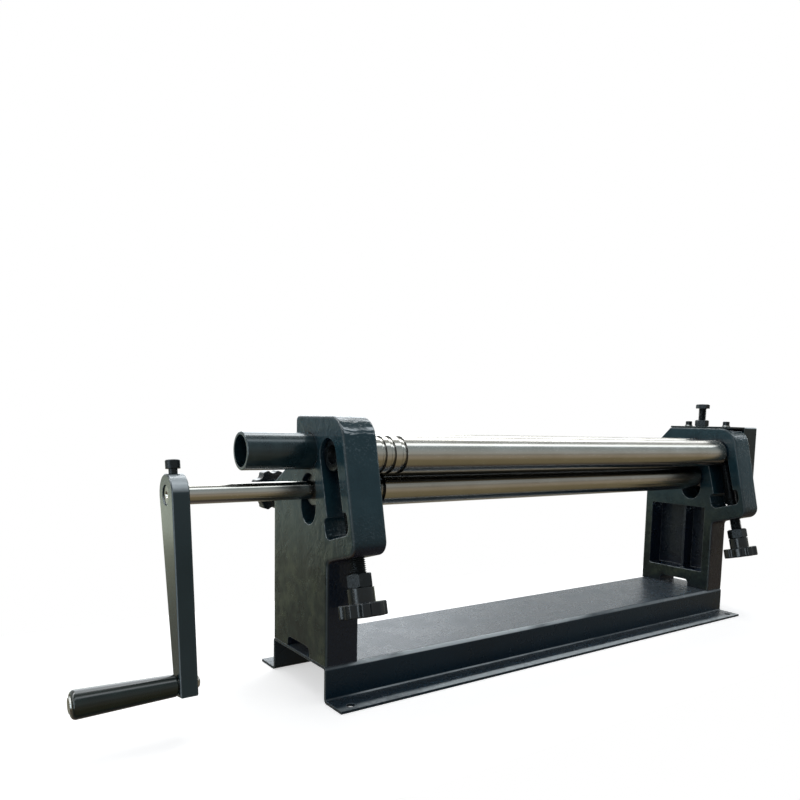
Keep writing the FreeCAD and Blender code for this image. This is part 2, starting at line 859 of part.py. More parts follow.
def build_clamp():
    """Bolt and lock nut that press the upper bearing down in the right frame."""
    place = {"x": "frame_middle", "y": "upper_axis_back", "z": "cover_top"}
    head = "clamp_bolt_rise"
    bolt = hexagon_body("clamp_bolt", "clamp_bolt * 1.5", head, f"{head} + clamp_head_height",
                        place)
    add_shank(bolt, "clamp_bolt / 2", head, "upper_z + upper_bush_radius - cover_top",
              chamfer="-0.8")
    nut = hexagon_body("clamp_nut", "clamp_bolt * 1.5", "0", "clamp_nut_height", place)
    bore_through(nut, "clamp_bolt / 2")
    turned_body(
        "upper_bearing",
        ring_profile("bearing_bore", "upper_bush_radius", "bush_start", "bush_end"),
        y="upper_axis_back", z="upper_z")


# --- Rolls and bearings ---------------------------------------------------------------------

def roll_body(label, left_end, right_end, y, z):
    """Ground roll with turned-down journals, chamfered everywhere an edge is turned."""
    neck = "roll_radius - roll_chamfer"
    tip = "journal_radius - 1"
    return turned_body(label, [
        (f"-({left_end})", "0"),
        (f"-({left_end})", tip),
        (f"-({left_end}) + 1", "journal_radius"),
        ("-roll_end", "journal_radius"),
        ("-roll_end", neck),
        ("-roll_end + roll_chamfer", "roll_radius"),
        ("roll_end - roll_chamfer", "roll_radius"),
        ("roll_end", neck),
        ("roll_end", "journal_radius"),
        (f"{right_end} - 1", "journal_radius"),
        (right_end, tip),
        (right_end, "0"),
    ], y=y, z=z)


def cut_wire_grooves(body):
    """Three half-round grooves near the left end for rolling wire and wired edges."""
    sketch = new_sketch(body, "wire_grooves", "XY_Plane")
    for step, name in enumerate(("wire_groove_first", "wire_groove_second", "wire_groove_third")):
        middle = f"-roll_end + {name}"
        radius = f"(wire_groove_radius + {step} * wire_groove_step)"
        draw_obround(
            sketch, (middle, f"roll_radius - {radius} / 4"), (middle, f"roll_radius + {radius}"),
            radius)
    groove(body, sketch, "H_Axis")


def cut_gear_seat(body):
    """Keyway and retaining-ring groove on the gear end of a roll."""
    keyway = new_sketch(body, "keyway", "XY_Plane", out="journal_radius - key_seat")
    draw_rectangle(
        keyway, "(gear_start + gear_end - key_length) / 2", "-key_width / 2",
        "(gear_start + gear_end + key_length) / 2", "key_width / 2")
    pocket(body, keyway, "key_seat + 1", backward=True)
    ring = new_sketch(body, "ring_groove", "XY_Plane")
    draw_rectangle(
        ring, "gear_end", "journal_radius - circlip_seat",
        "gear_end + circlip_thickness", "journal_radius + 1")
    groove(body, ring, "H_Axis")


def cut_centre(body, end):
    """The centre left in a shaft end by turning."""
    sketch = new_sketch(body, "turning_centre", "XY_Plane")
    draw_polygon(sketch, [
        (f"{end} - 1", "0"),
        (f"{end} - 1", "4.5"),
        (f"{end} + 4", "0"),
    ])
    groove(body, sketch, "H_Axis")


def build_rolls():
    upper = roll_body(
        "upper_roll", "outer_face - upper_journal_recess", "gear_shaft_end",
        "upper_axis_back", "upper_z")
    cut_gear_seat(upper)
    lower = roll_body(
        "lower_roll", "crank_outer - shaft_shy", "gear_shaft_end", "upper_axis_back", "lower_z")
    cut_gear_seat(lower)
    cut_wire_grooves(lower)
    cut_centre(lower, "-(crank_outer - shaft_shy)")
    end = "outer_face - bending_journal_recess"
    bending = roll_body("bending_roll", end, end, "bending_y", "bending_z")
    cut_wire_grooves(bending)
    cut_centre(bending, f"-({end})")


def build_bearings():
    for name, y, z in (
        ("lower_bearing", "upper_axis_back", "lower_z"),
        ("bending_bearing", "bending_y", "bending_z"),
    ):
        for side_name, side in SIDES.items():
            start, finish = ("bush_start", "bush_end") if side > 0 else ("-bush_end", "-bush_start")
            turned_body(
                f"{name}_{side_name}",
                ring_profile("bearing_bore", "bush_diameter / 2", start, finish), y=y, z=z)


def build_sleeve():
    """Tube that carries the left end of the upper roll and is drawn out to release it."""
    neck = "-(inner_face + roll_end_gap + sleeve_neck)"
    outer = "sleeve_diameter / 2"
    turned_body("release_sleeve", [
        ("-(outer_face + sleeve_reach)", "sleeve_bore / 2"),
        ("-(outer_face + sleeve_reach)", f"{outer} - 0.6"),
        ("-(outer_face + sleeve_reach) + 0.6", outer),
        ("-(inner_face + roll_end_gap) - 1", outer),
        ("-(inner_face + roll_end_gap)", f"{outer} - 1"),
        ("-(inner_face + roll_end_gap)", "bearing_bore"),
        (neck, "bearing_bore"),
        (neck, "sleeve_bore / 2"),
    ], y="upper_axis_back", z="upper_z")


# --- Gears ----------------------------------------------------------------------------------

def polar(radius, angle):
    return FreeCAD.Vector(0, radius * math.cos(angle), radius * math.sin(angle))


def involute(angle):
    return math.tan(angle) - angle


def tooth_edges(middle, pitch_radius):
    """The edges of one tooth, from the root on one flank over the tip to the other."""
    module = 2 * pitch_radius / number("gear_teeth")
    pressure = math.radians(number("pressure_angle"))
    base_radius = pitch_radius * math.cos(pressure)
    tip_radius = pitch_radius + number("gear_addendum") * module
    root_radius = pitch_radius - number("gear_dedendum") * module
    thickness = math.pi * module / 2 - number("gear_backlash") / 2
    half_at_pitch = thickness / (2 * pitch_radius)

    def half_angle(radius):
        return half_at_pitch + involute(pressure) - involute(math.acos(base_radius / radius))

    def flank(radius, side):
        return polar(radius, middle + side * half_angle(radius))

    between = (base_radius + tip_radius) / 2
    start = half_angle(base_radius)
    return [
        Part.makeLine(polar(root_radius, middle - start), flank(base_radius, -1)),
        Part.Arc(flank(base_radius, -1), flank(between, -1), flank(tip_radius, -1)).toShape(),
        Part.Arc(flank(tip_radius, -1), polar(tip_radius, middle), flank(tip_radius, 1)).toShape(),
        Part.Arc(flank(tip_radius, 1), flank(between, 1), flank(base_radius, 1)).toShape(),
        Part.makeLine(flank(base_radius, 1), polar(root_radius, middle + start)),
    ], polar(root_radius, middle - start), polar(root_radius, middle + start), root_radius


def gear_shape(first_tooth):
    """Spur gear around X with involute teeth, a bore and a keyway, its face at X 0."""
    teeth = round(number("gear_teeth"))
    pitch_radius = number("(upper_z - lower_z) / 2")
    step = 2 * math.pi / teeth
    edges = []
    previous = None
    for index in range(teeth + 1):
        middle = first_tooth + index * step
        tooth, start, finish, root_radius = tooth_edges(middle, pitch_radius)
        if previous is not None:
            valley = polar(root_radius, middle - step / 2)
            edges.append(Part.Arc(previous, valley, start).toShape())
        if index < teeth:
            edges.extend(tooth)
        previous = finish
    width = number("gear_width")
    wheel = Part.Face(Part.Wire(edges)).extrude(FreeCAD.Vector(width, 0, 0))
    bore = Part.makeCylinder(number("journal_radius"), width, FreeCAD.Vector(), ALONG_X)
    key = number("key_width")
    keyway = Part.makeBox(width, key, number("journal_radius - key_seat + key_width + 0.2"),
                          FreeCAD.Vector(0, -key / 2, 0))
    return wheel.cut([bore, keyway]).removeSplitter()


def build_gears():
    """The pair that couples the two driven rolls, a tooth of one in a gap of the other."""
    half_step = math.pi / round(number("gear_teeth"))
    for name, z, first_tooth in (
        ("upper", "upper_z", -math.pi / 2),
        ("lower", "lower_z", math.pi / 2 + half_step),
    ):
        gear = doc.addObject("Part::Feature", f"Gear_{name}")
        gear.Label = f"{name}_gear"
        gear.Shape = gear_shape(first_tooth)
        turn_and_move(gear, "Placement", ALONG_X, "gear_start", "upper_axis_back", z, "0")
        subparts.append(gear)
        build_key(f"{name}_gear_key", z)
        build_circlip(f"{name}_circlip", z)


def build_key(label, z):
    key = doc.addObject("Part::Box", "Box_" + label)
    key.Label = label
    bind(key, "Length", "key_length")
    bind(key, "Width", "key_width")
    bind(key, "Height", "key_width")
    turn_and_move(
        key, "Placement", ALONG_X, "(gear_start + gear_end - key_length) / 2",
        "upper_axis_back - key_width / 2", f"{z} + journal_radius - key_seat", "0")
    subparts.append(key)


def build_circlip(label, z):
    """Open retaining ring in its shaft groove."""
    body = new_body(label, x="gear_end", y="upper_axis_back", z=z)
    ring = new_sketch(body, "ring", "YZ_Plane")
    draw_circle(ring, ("0", "0"), "journal_radius + circlip_band - circlip_seat")
    draw_circle(ring, ("0", "0"), "journal_radius - circlip_seat")
    pad(body, ring, "circlip_thickness")
    opening = new_sketch(body, "opening", "YZ_Plane")
    draw_rectangle(opening, "-4", "-journal_diameter", "4", "0")
    pocket(body, opening, "circlip_thickness", backward=True)


# --- Crank ----------------------------------------------------------------------------------

def build_crank():
    """Flat arm with a round boss, clamped to the lower roll's shaft."""
    place = {"y": "upper_axis_back", "z": "lower_z", "turn": "-crank_angle"}
    arm = new_body("crank_arm", x="-crank_outer", **place)
    outline = new_sketch(arm, "outline", "YZ_Plane")
    foot = "-(crank_length + crank_end)"
    boss = draw_arc(outline, ("0", "0"), "crank_boss", -5, 185)
    ends = {
        side: FreeCAD.Vector(side * number("crank_tip_half_width"), number(foot), 0)
        for side in SIDES.values()
    }
    shoulders = {side: FreeCAD.Vector(side * number("crank_boss"), -1, 0) for side in ends}
    right_edge = outline.addGeometry(Part.LineSegment(ends[1], shoulders[1]))
    left_edge = outline.addGeometry(Part.LineSegment(shoulders[-1], ends[-1]))
    bottom = outline.addGeometry(Part.LineSegment(ends[-1], ends[1]))
    outline.addConstraint(Sketcher.Constraint("Tangent", right_edge, 2, boss, 1))
    outline.addConstraint(Sketcher.Constraint("Tangent", boss, 2, left_edge, 1))
    outline.addConstraint(Sketcher.Constraint("Coincident", left_edge, 2, bottom, 1))
    outline.addConstraint(Sketcher.Constraint("Coincident", bottom, 2, right_edge, 1))
    hold_point(outline, bottom, 1, ("-crank_tip_half_width", foot))
    hold_point(outline, bottom, 2, ("crank_tip_half_width", foot))
    pad(arm, outline, "crank_thickness")

    def at_a_face(edge):
        box = edge.BoundBox
        return box.XLength < TOLERANCE
    soften(arm, "edges", "Chamfer", at_a_face, "1")
    holes = new_sketch(arm, "holes", "YZ_Plane")
    draw_circle(holes, ("0", "0"), "journal_radius")
    draw_circle(holes, ("0", "-crank_length"), "spindle_end / 2")
    pocket_through(arm, holes)
    screw_hole = new_sketch(arm, "screw_hole", "XY_Plane", x="crank_thickness / 2")
    draw_circle(screw_hole, ("0", "0"), "crank_screw / 2")
    pocket(arm, screw_hole, "crank_boss + 1", backward=True)

    screw = socket_screw(
        "crank_set_screw", "crank_screw / 2", "crank_boss + crank_screw_gap - journal_radius",
        {"x": "-crank_outer + crank_thickness / 2", "turn": "-crank_angle",
         "y": "upper_axis_back + (crank_boss + crank_screw_gap) * sin(crank_angle)",
         "z": "lower_z + (crank_boss + crank_screw_gap) * cos(crank_angle)"})
    return screw


def build_grip():
    """Handle that spins on a headed spindle, stepped down through the arm to a thin nut."""
    place = {
        "y": "upper_axis_back - crank_length * sin(crank_angle)",
        "z": "lower_z - crank_length * cos(crank_angle)",
    }
    shaft = "spindle_diameter / 2"
    thread = "spindle_end / 2"
    head = "spindle_head / 2"
    head_seat = "-(grip_end - spindle_head_depth + 0.3)"
    head_top = f"{head_seat} - spindle_head_depth - 0.8"
    tip = "-crank_inner + spindle_nut_height + 1"
    turned_body("grip_spindle", [
        (head_top, "0"),
        (head_top, f"{head} - 1"),
        (f"{head_top} + 1", head),
        (head_seat, head),
        (head_seat, shaft),
        ("-crank_outer", shaft),
        ("-crank_outer", thread),
        (f"{tip} - 0.8", thread),
        (tip, f"{thread} - 0.8"),
        (tip, "0"),
    ], **place)
    bore = f"{shaft} + running_fit"
    counterbore = f"{head} + 0.5"
    grip = turned_body("grip", [
        ("-grip_start", bore),
        ("-grip_start", "grip_small / 2"),
        ("-grip_end", "grip_large / 2"),
        ("-grip_end", counterbore),
        ("-(grip_end - spindle_head_depth)", counterbore),
        ("-(grip_end - spindle_head_depth)", bore),
    ], **place)

    def outer_rim(level, radius):
        centre = FreeCAD.Vector(number(level), 0, 0)
        return lambda edge: (
            hasattr(edge.Curve, "Radius") and abs(edge.Curve.Radius - number(radius)) < TOLERANCE
            and (edge.Curve.Center - centre).Length < TOLERANCE)
    soften(grip, "outer_end", "Fillet", outer_rim("-grip_end", "grip_large / 2"),
           "grip_large / 2 - spindle_head / 2 - 1")
    soften(grip, "inner_end", "Fillet", outer_rim("-grip_start", "grip_small / 2"), "2")
    nut = hexagon_body(
        "grip_nut", "spindle_end * 1.7", "0", "spindle_nut_height",
        {"x": "0", "y": "0", "z": "0"}, kept=False)
    bore_through(nut, thread)
    lay_along_x("grip_nut", nut, "-crank_inner", place["y"], place["z"])


def lay_along_x(label, upright, x, y, z):
    """Stand-in for an upright body whose own axis has to lie along X."""
    upright.Label = label + "_blank"
    upright.Placement = FreeCAD.Placement(
        FreeCAD.Vector(), FreeCAD.Rotation(FreeCAD.Vector(0, 1, 0), 90))
    for path in ("x", "y", "z"):
        upright.setExpression("Placement.Base." + path, None)
    compound = group(label, [upright])
    turn_and_move(compound, "Placement", ALONG_X, x, y, z, "0")


# --- Adjusters ------------------------------------------------------------------------------

def star_knob(label, start, height, thread, place):
    """Round hub and lobed rim along the body's Z, with a blind seat for the screw."""
    body = new_body(label, **place)
    rim_start = f"{start} + hub_height"
    rim = new_sketch(body, "rim", "XY_Plane", out=rim_start)
    draw_circle(rim, ("0", "0"), "knob_diameter / 2")
    pad(body, rim, height)
    scallop = new_sketch(body, "scallop", "XY_Plane", out=rim_start)
    draw_circle(scallop, ("0", "knob_diameter / 2 + scallop_offset"), "scallop_radius")
    cut = pocket(body, scallop, height, backward=True)
    polar_pattern(body, cut, scallop, "knob_lobes")
    rim_low = number(rim_start)

    def lobe_edge(edge):
        box = edge.BoundBox
        upright = box.XLength < TOLERANCE and box.YLength < TOLERANCE
        return upright and math.hypot(box.XMin, box.YMin) > 5 and box.ZMin > rim_low - TOLERANCE
    soften(body, "lobes", "Fillet", lobe_edge, "2.5")
    soften(body, "rim_edges", "Fillet", flat_at_z([rim_start, f"{rim_start} + {height}"]),
           "knob_edge")
    hub = new_sketch(body, "hub", "XY_Plane", out=start)
    draw_circle(hub, ("0", "0"), "hub_diameter / 2")
    pad(body, hub, "hub_height + 1")
    seat = new_sketch(body, "seat", "XY_Plane", out=start)
    draw_circle(seat, ("0", "0"), thread)
    pocket(body, seat, "hub_height + knob_seat", backward=True)
    return body


def adjuster(name, place, sizes):
    """Screw, lock nut and knob on one axis, measured outward along the body's Z."""
    tip, exposed_end, nut_height, flats, thread, knob_height, side_name = sizes
    nut_end = f"{exposed_end} + {nut_height}"
    screw = new_body(f"{name}_screw_{side_name}", **place)
    add_shank(screw, thread, f"{nut_end} + hub_height + knob_seat", tip, chamfer="-1.5")
    nut = hexagon_body(f"{name}_nut_{side_name}", flats, exposed_end, nut_end, place)
    bore_through(nut, thread)
    star_knob(f"{name}_knob_{side_name}", nut_end, knob_height, thread, place)


def build_bending_adjusters():
    """Screws up through the nose that carry the bearings of the bending roll."""
    for side_name, side in SIDES.items():
        place = {"x": f"{side} * frame_middle", "y": "bending_y", "z": "bending_z",
                 "turn": "180 - slot_tilt"}
        adjuster("bending", place, (
            "bush_diameter / 2 + slot_clearance", "underside_drop + bending_exposed",
            "bending_nut_height", "bending_nut_flats", "bending_screw / 2",
            "bending_knob_height", side_name))


def build_lower_adjusters():
    """Wedge pins under the lower bearings, and the screws behind that push them in."""
    for side_name, side in SIDES.items():
        place = {"x": f"{side} * frame_middle", "y": "wedge_y", "z": "wedge_z", "turn": "-90"}
        pin = new_body(f"lower_pin_{side_name}", **place)
        blank = new_sketch(pin, "blank", "XY_Plane", out="-wedge_pin")
        draw_circle(blank, ("0", "0"), "wedge_pin / 2")
        pad(pin, blank, "wedge_pin + wedge_pin_end - wedge_y")
        bevel = new_sketch(pin, "bevel", "YZ_Plane")
        rise = "2 * wedge_pin * tan(90 - wedge_angle)"
        draw_polygon(bevel, [
            ("-2 * wedge_pin", rise),
            ("2 * wedge_pin", f"-{rise}"),
            ("-2 * wedge_pin", f"-{rise}"),
        ])
        pocket_through(pin, bevel)
        adjuster("lower", place, (
            "wedge_pin_end + wedge_gap - wedge_y", "column_half_depth + lower_exposed - wedge_y",
            "lower_nut_height", "lower_nut_flats", "lower_screw / 2", "lower_knob_height",
            side_name))


def check_and_export():
    """Stop on any failed object, then write one file for each sub-part."""
    doc.recompute()
    for item in doc.Objects:
        if "Invalid" in item.State or "Error" in item.State:
            raise RuntimeError(f"{item.Label} did not compute: {item.State}")
    for item in subparts:
        if item.Shape.isNull() or not item.Shape.isValid():
            raise RuntimeError(item.Label + " has no valid shape")
    os.makedirs("parts", exist_ok=True)
    for item in subparts:
        item.Shape.exportStep(f"parts/{item.Label}.step")


build_base()
for side_name in SIDES:
    build_frame(side_name)
build_frame_bolts()
build_clamp()
build_cover()
build_cover_screws()
build_sleeve()
build_rolls()
build_bearings()
build_gears()
build_crank()
build_grip()
build_bending_adjusters()
build_lower_adjusters()
check_and_export()
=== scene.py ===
"""Studio picture of a hand-cranked slip roll: finishes and screw threads over the CAD model."""
import json
import math
from types import SimpleNamespace

import bmesh
import bpy
from mathutils import Matrix, Vector


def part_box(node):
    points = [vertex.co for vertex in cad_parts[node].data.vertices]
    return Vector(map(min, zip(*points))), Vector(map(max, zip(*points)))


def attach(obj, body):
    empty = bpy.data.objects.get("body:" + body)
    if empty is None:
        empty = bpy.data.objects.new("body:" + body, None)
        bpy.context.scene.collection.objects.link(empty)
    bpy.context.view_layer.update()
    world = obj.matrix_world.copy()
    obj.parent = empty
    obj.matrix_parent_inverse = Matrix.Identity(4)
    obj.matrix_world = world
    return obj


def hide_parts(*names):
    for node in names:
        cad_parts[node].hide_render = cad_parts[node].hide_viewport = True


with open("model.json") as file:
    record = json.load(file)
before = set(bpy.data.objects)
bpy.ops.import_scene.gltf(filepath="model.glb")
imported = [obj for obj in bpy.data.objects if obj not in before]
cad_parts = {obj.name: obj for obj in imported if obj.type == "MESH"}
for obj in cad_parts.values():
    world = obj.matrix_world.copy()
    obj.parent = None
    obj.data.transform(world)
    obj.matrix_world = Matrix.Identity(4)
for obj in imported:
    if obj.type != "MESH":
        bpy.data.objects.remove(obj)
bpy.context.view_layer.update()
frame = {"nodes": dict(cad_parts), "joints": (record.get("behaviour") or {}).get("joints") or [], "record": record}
nodes = frame["nodes"]

MM = 0.001

# Screw threads: pitches, depth as a share of the pitch, and the flat at the root and the
# flank as shares of half a pitch
BENDING_PITCH = 2.0 * MM
FINE_PITCH = 1.75 * MM
THREAD_DEPTH = 0.60
ROOT_FLAT = 0.12
FLANK = 0.70
RINGS_PER_TURN = 9
SCREW_SEGMENTS = 48

# Clamp bolt: radius of its shank, height of its head and of the head's chamfer, and the thin
# step between the last ring of the shank and the head. Its segments divide by six, so that the
# hexagon's corners fall on them.
CLAMP_RADIUS = 6.0 * MM
CLAMP_HEAD = 6.5 * MM
CLAMP_CHAMFER = 1.4 * MM
HEAD_STEP = 0.001 * MM
CHAMFER_RINGS = 7
CLAMP_SEGMENTS = 72

SHARP_ANGLE = math.radians(35)


# --- Camera ---------------------------------------------------------------------------------

def add_camera():
    """Camera fitted to the photograph: place, line of sight, roll, lens and shift."""
    place = (-0.6869, -0.6999, 0.2843)
    heading = math.radians(37.58)
    pitch = math.radians(5.99)
    roll = math.radians(-1.55)
    forward = Vector((
        math.sin(heading) * math.cos(pitch), math.cos(heading) * math.cos(pitch),
        -math.sin(pitch)))
    level = Vector((math.cos(heading), -math.sin(heading), 0.0))
    down = forward.cross(level)
    right = level * math.cos(roll) + down * math.sin(roll)
    below = down * math.cos(roll) - level * math.sin(roll)
    lens = bpy.data.cameras.new("photo_camera")
    lens.sensor_width = 36.0
    lens.lens = 32.733
    lens.shift_x = -0.0636
    lens.shift_y = 0.1265
    lens.clip_start = 0.01
    lens.clip_end = 50.0
    camera = bpy.data.objects.new("photo_camera", lens)
    turn = Matrix((right, -below, -forward)).transposed()
    camera.matrix_world = Matrix.Translation(place) @ turn.to_4x4()
    bpy.context.scene.collection.objects.link(camera)
    bpy.context.scene.camera = camera


# --- Shader nodes ---------------------------------------------------------------------------

class Tree:
    """Short names for the shader nodes that the finishes and the room are made of."""

    def __init__(self, owner):
        owner.use_nodes = True
        self.tree = owner.node_tree
        self.tree.nodes.clear()

    def node(self, kind, inputs=None, **settings):
        made = self.tree.nodes.new(kind)
        for key, value in settings.items():
            setattr(made, key, value)
        for key, value in (inputs or {}).items():
            self.feed(made.inputs[key], value)
        return made

    def feed(self, socket, value):
        if isinstance(value, bpy.types.NodeSocket):
            self.tree.links.new(value, socket)
        else:
            socket.default_value = value

    def math(self, operation, a, b=0.0, clamp=False):
        return self.node(
            "ShaderNodeMath", {0: a, 1: b}, operation=operation, use_clamp=clamp).outputs[0]

    def product(self, first, *others):
        for other in others:
            first = self.math("MULTIPLY", first, other)
        return first

    def weighted(self, *pairs):
        """Sum of each value times its weight."""
        total = 0.0
        for value, weight in pairs:
            total = self.math("ADD", total, self.math("MULTIPLY", value, weight))
        return total

    def vector(self, operation, a, b=(0.0, 0.0, 0.0)):
        made = self.node("ShaderNodeVectorMath", {0: a, 1: b}, operation=operation)
        return made.outputs["Value" if operation == "DOT_PRODUCT" else "Vector"]

    def split(self, vector):
        return self.node("ShaderNodeSeparateXYZ", {0: vector}).outputs

    def noise(self, place, scale, detail=2.0, roughness=0.5, distortion=0.0):
        return self.node("ShaderNodeTexNoise", {
            "Vector": place, "Scale": scale, "Detail": detail, "Roughness": roughness,
            "Distortion": distortion}).outputs["Fac"]

    def ramp(self, factor, stops):
        made = self.node("ShaderNodeValToRGB", {"Fac": factor})
        elements = made.color_ramp.elements
        while len(elements) < len(stops):
            elements.new(0.5)
        for element, (place, colour) in zip(elements, stops):
            element.position = place
            element.color = (*colour, 1.0)
        return made.outputs["Color"]

    def span(self, value, low, high, start=0.0, finish=1.0):
        """Maps low..high of value onto start..finish, and holds it there."""
        return self.node("ShaderNodeMapRange", {
            "Value": value, "From Min": low, "From Max": high, "To Min": start,
            "To Max": finish}).outputs["Result"]

    def blend(self, factor, first, second):
        """Mixes two colours; a Mix node's colour sockets are 6 and 7 in, and 2 out."""
        made = self.node("ShaderNodeMix", data_type="RGBA")
        for socket, value in zip((made.inputs[0], made.inputs[6], made.inputs[7]),
                                 (factor, first, second)):
            if isinstance(value, tuple):
                value = (*value, 1.0)
            self.feed(socket, value)
        return made.outputs[2]


class Finish(Tree):
    """A Principled material measured in the object's own space, in metres."""

    def __init__(self, name, **constants):
        self.material = bpy.data.materials.new(name)
        super().__init__(self.material)
        self.shader = self.node("ShaderNodeBsdfPrincipled")
        output = self.node("ShaderNodeOutputMaterial")
        self.tree.links.new(self.shader.outputs[0], output.inputs["Surface"])
        for key, value in constants.items():
            self.shader.inputs[key.replace("_", " ")].default_value = value
        coordinates = self.node("ShaderNodeTexCoord").outputs
        self.place = coordinates["Object"]
        self.facing = coordinates["Normal"]

    def set(self, socket, value):
        self.feed(self.shader.inputs[socket], value)

    def rounded(self, radius):
        """Normal of the surface with its sharp edges softened by radius."""
        return self.node(
            "ShaderNodeBevel", {"Radius": radius}, samples=6).outputs["Normal"]

    def edges(self, rounded, gain):
        """1 at a sharp edge and 0 on a flat face."""
        flat = self.node("ShaderNodeNewGeometry").outputs["Normal"]
        agreement = self.vector("DOT_PRODUCT", rounded, flat)
        return self.math("MULTIPLY", self.math("SUBTRACT", 1.0, agreement), gain, clamp=True)

    def openness(self, reach):
        """1 in the open and 0 deep in a corner, as far as other faces lie within reach."""
        return self.node(
            "ShaderNodeAmbientOcclusion", {"Distance": reach}, samples=6).outputs["AO"]

    def bump(self, height, distance, normal):
        return self.node("ShaderNodeBump", {
            "Height": height, "Distance": distance, "Strength": 1.0,
            "Normal": normal}).outputs["Normal"]

    def stretched(self, x, y, z):
        """The object's space with each direction scaled, for lines that run one way."""
        return self.vector("MULTIPLY", self.place, (x, y, z))


# Linear colours of the enamel: painted shade low on the column, in corners and in bays, a painted warm reflection,
# and the painted highlights that shine on it
SHADED_COLUMN = (0.0006, 0.0070, 0.0130)
CORNER_SHADOW = (0.0006, 0.0040, 0.0110)
BAY_SHADOW = (0.0035, 0.0080, 0.0190)
PAINTED_WARM_REFLECTION = (0.060, 0.032, 0.012)
FILLET_SHINE = (0.050, 0.066, 0.072)
SPARKLE_SHINE = (0.40, 0.50, 0.56)
CREST_SHINE = (0.60, 0.67, 0.71)
RIM_SHINE = (0.62, 0.70, 0.74)
SHEET_SHINE = (0.52, 0.58, 0.61)

# Levels on the cast frames, in metres above the base's underside, that a look fades between
HEAD_LEVELS = (0.13, 0.20)
CROWN_LEVELS = (0.255, 0.276)
CREST_LEVELS = (0.24, 0.25)
BROW_LEVELS = ((0.236, 0.256), (0.278, 0.262))
CHAMBER_LEVELS = ((0.215, 0.185), (0.150, 0.158))
CHAMBER_FOOT_LEVELS = (0.186, 0.178)
UNDER_NOSE_LEVELS = ((0.12, 0.14), (0.180, 0.172))
RIGHT_COLUMN_LEVELS = (0.155, 0.148)
BAY_TOP_LEVELS = (0.170, 0.166)

# Places on the cast frames, in metres: the columns' front faces, the right frame's near side,
# and the two sides of the bays, measured from the machine's middle
COLUMN_FRONT_Y = (-0.0585, -0.0600)
RIGHT_FRAME_X = (0.30, 0.31)
BAY_X = ((0.3130, 0.3145), (0.3480, 0.3465))


def frame_regions(finish):
    """Masks over a cast frame, each 1 in its region and 0 outside, beside its z and facing_z."""
    x, y, z = finish.split(finish.place)
    facing_x, facing_y, facing_z = finish.split(finish.facing)
    sideways = finish.math("ABSOLUTE", facing_x)
    from_middle = finish.math("ABSOLUTE", x)
    machined = finish.span(sideways, 0.75, 0.97)
    raw = finish.math("SUBTRACT", 1.0, machined)
    return SimpleNamespace(
        z=z, facing_z=facing_z, machined=machined, raw=raw,
        crown=finish.math("MULTIPLY", finish.span(z, *CROWN_LEVELS), raw),
        brow=finish.product(*(finish.span(z, *levels) for levels in BROW_LEVELS), raw),
        fillet=finish.math(
            "MULTIPLY", finish.span(sideways, 0.25, 0.60), finish.span(sideways, 0.97, 0.75)),
        under_nose=finish.product(
            finish.span(facing_z, -0.25, -0.70),
            *(finish.span(z, *levels) for levels in UNDER_NOSE_LEVELS)),
        right_column=finish.product(
            finish.span(facing_y, -0.6, -0.9), finish.span(y, *COLUMN_FRONT_Y),
            finish.span(x, *RIGHT_FRAME_X), finish.span(z, *RIGHT_COLUMN_LEVELS)),
        chamber=finish.product(raw, *(finish.span(z, *levels) for levels in CHAMBER_LEVELS)),
        bay=finish.product(
            *(finish.span(from_middle, *ends) for ends in BAY_X),
            finish.span(z, *BAY_TOP_LEVELS)))


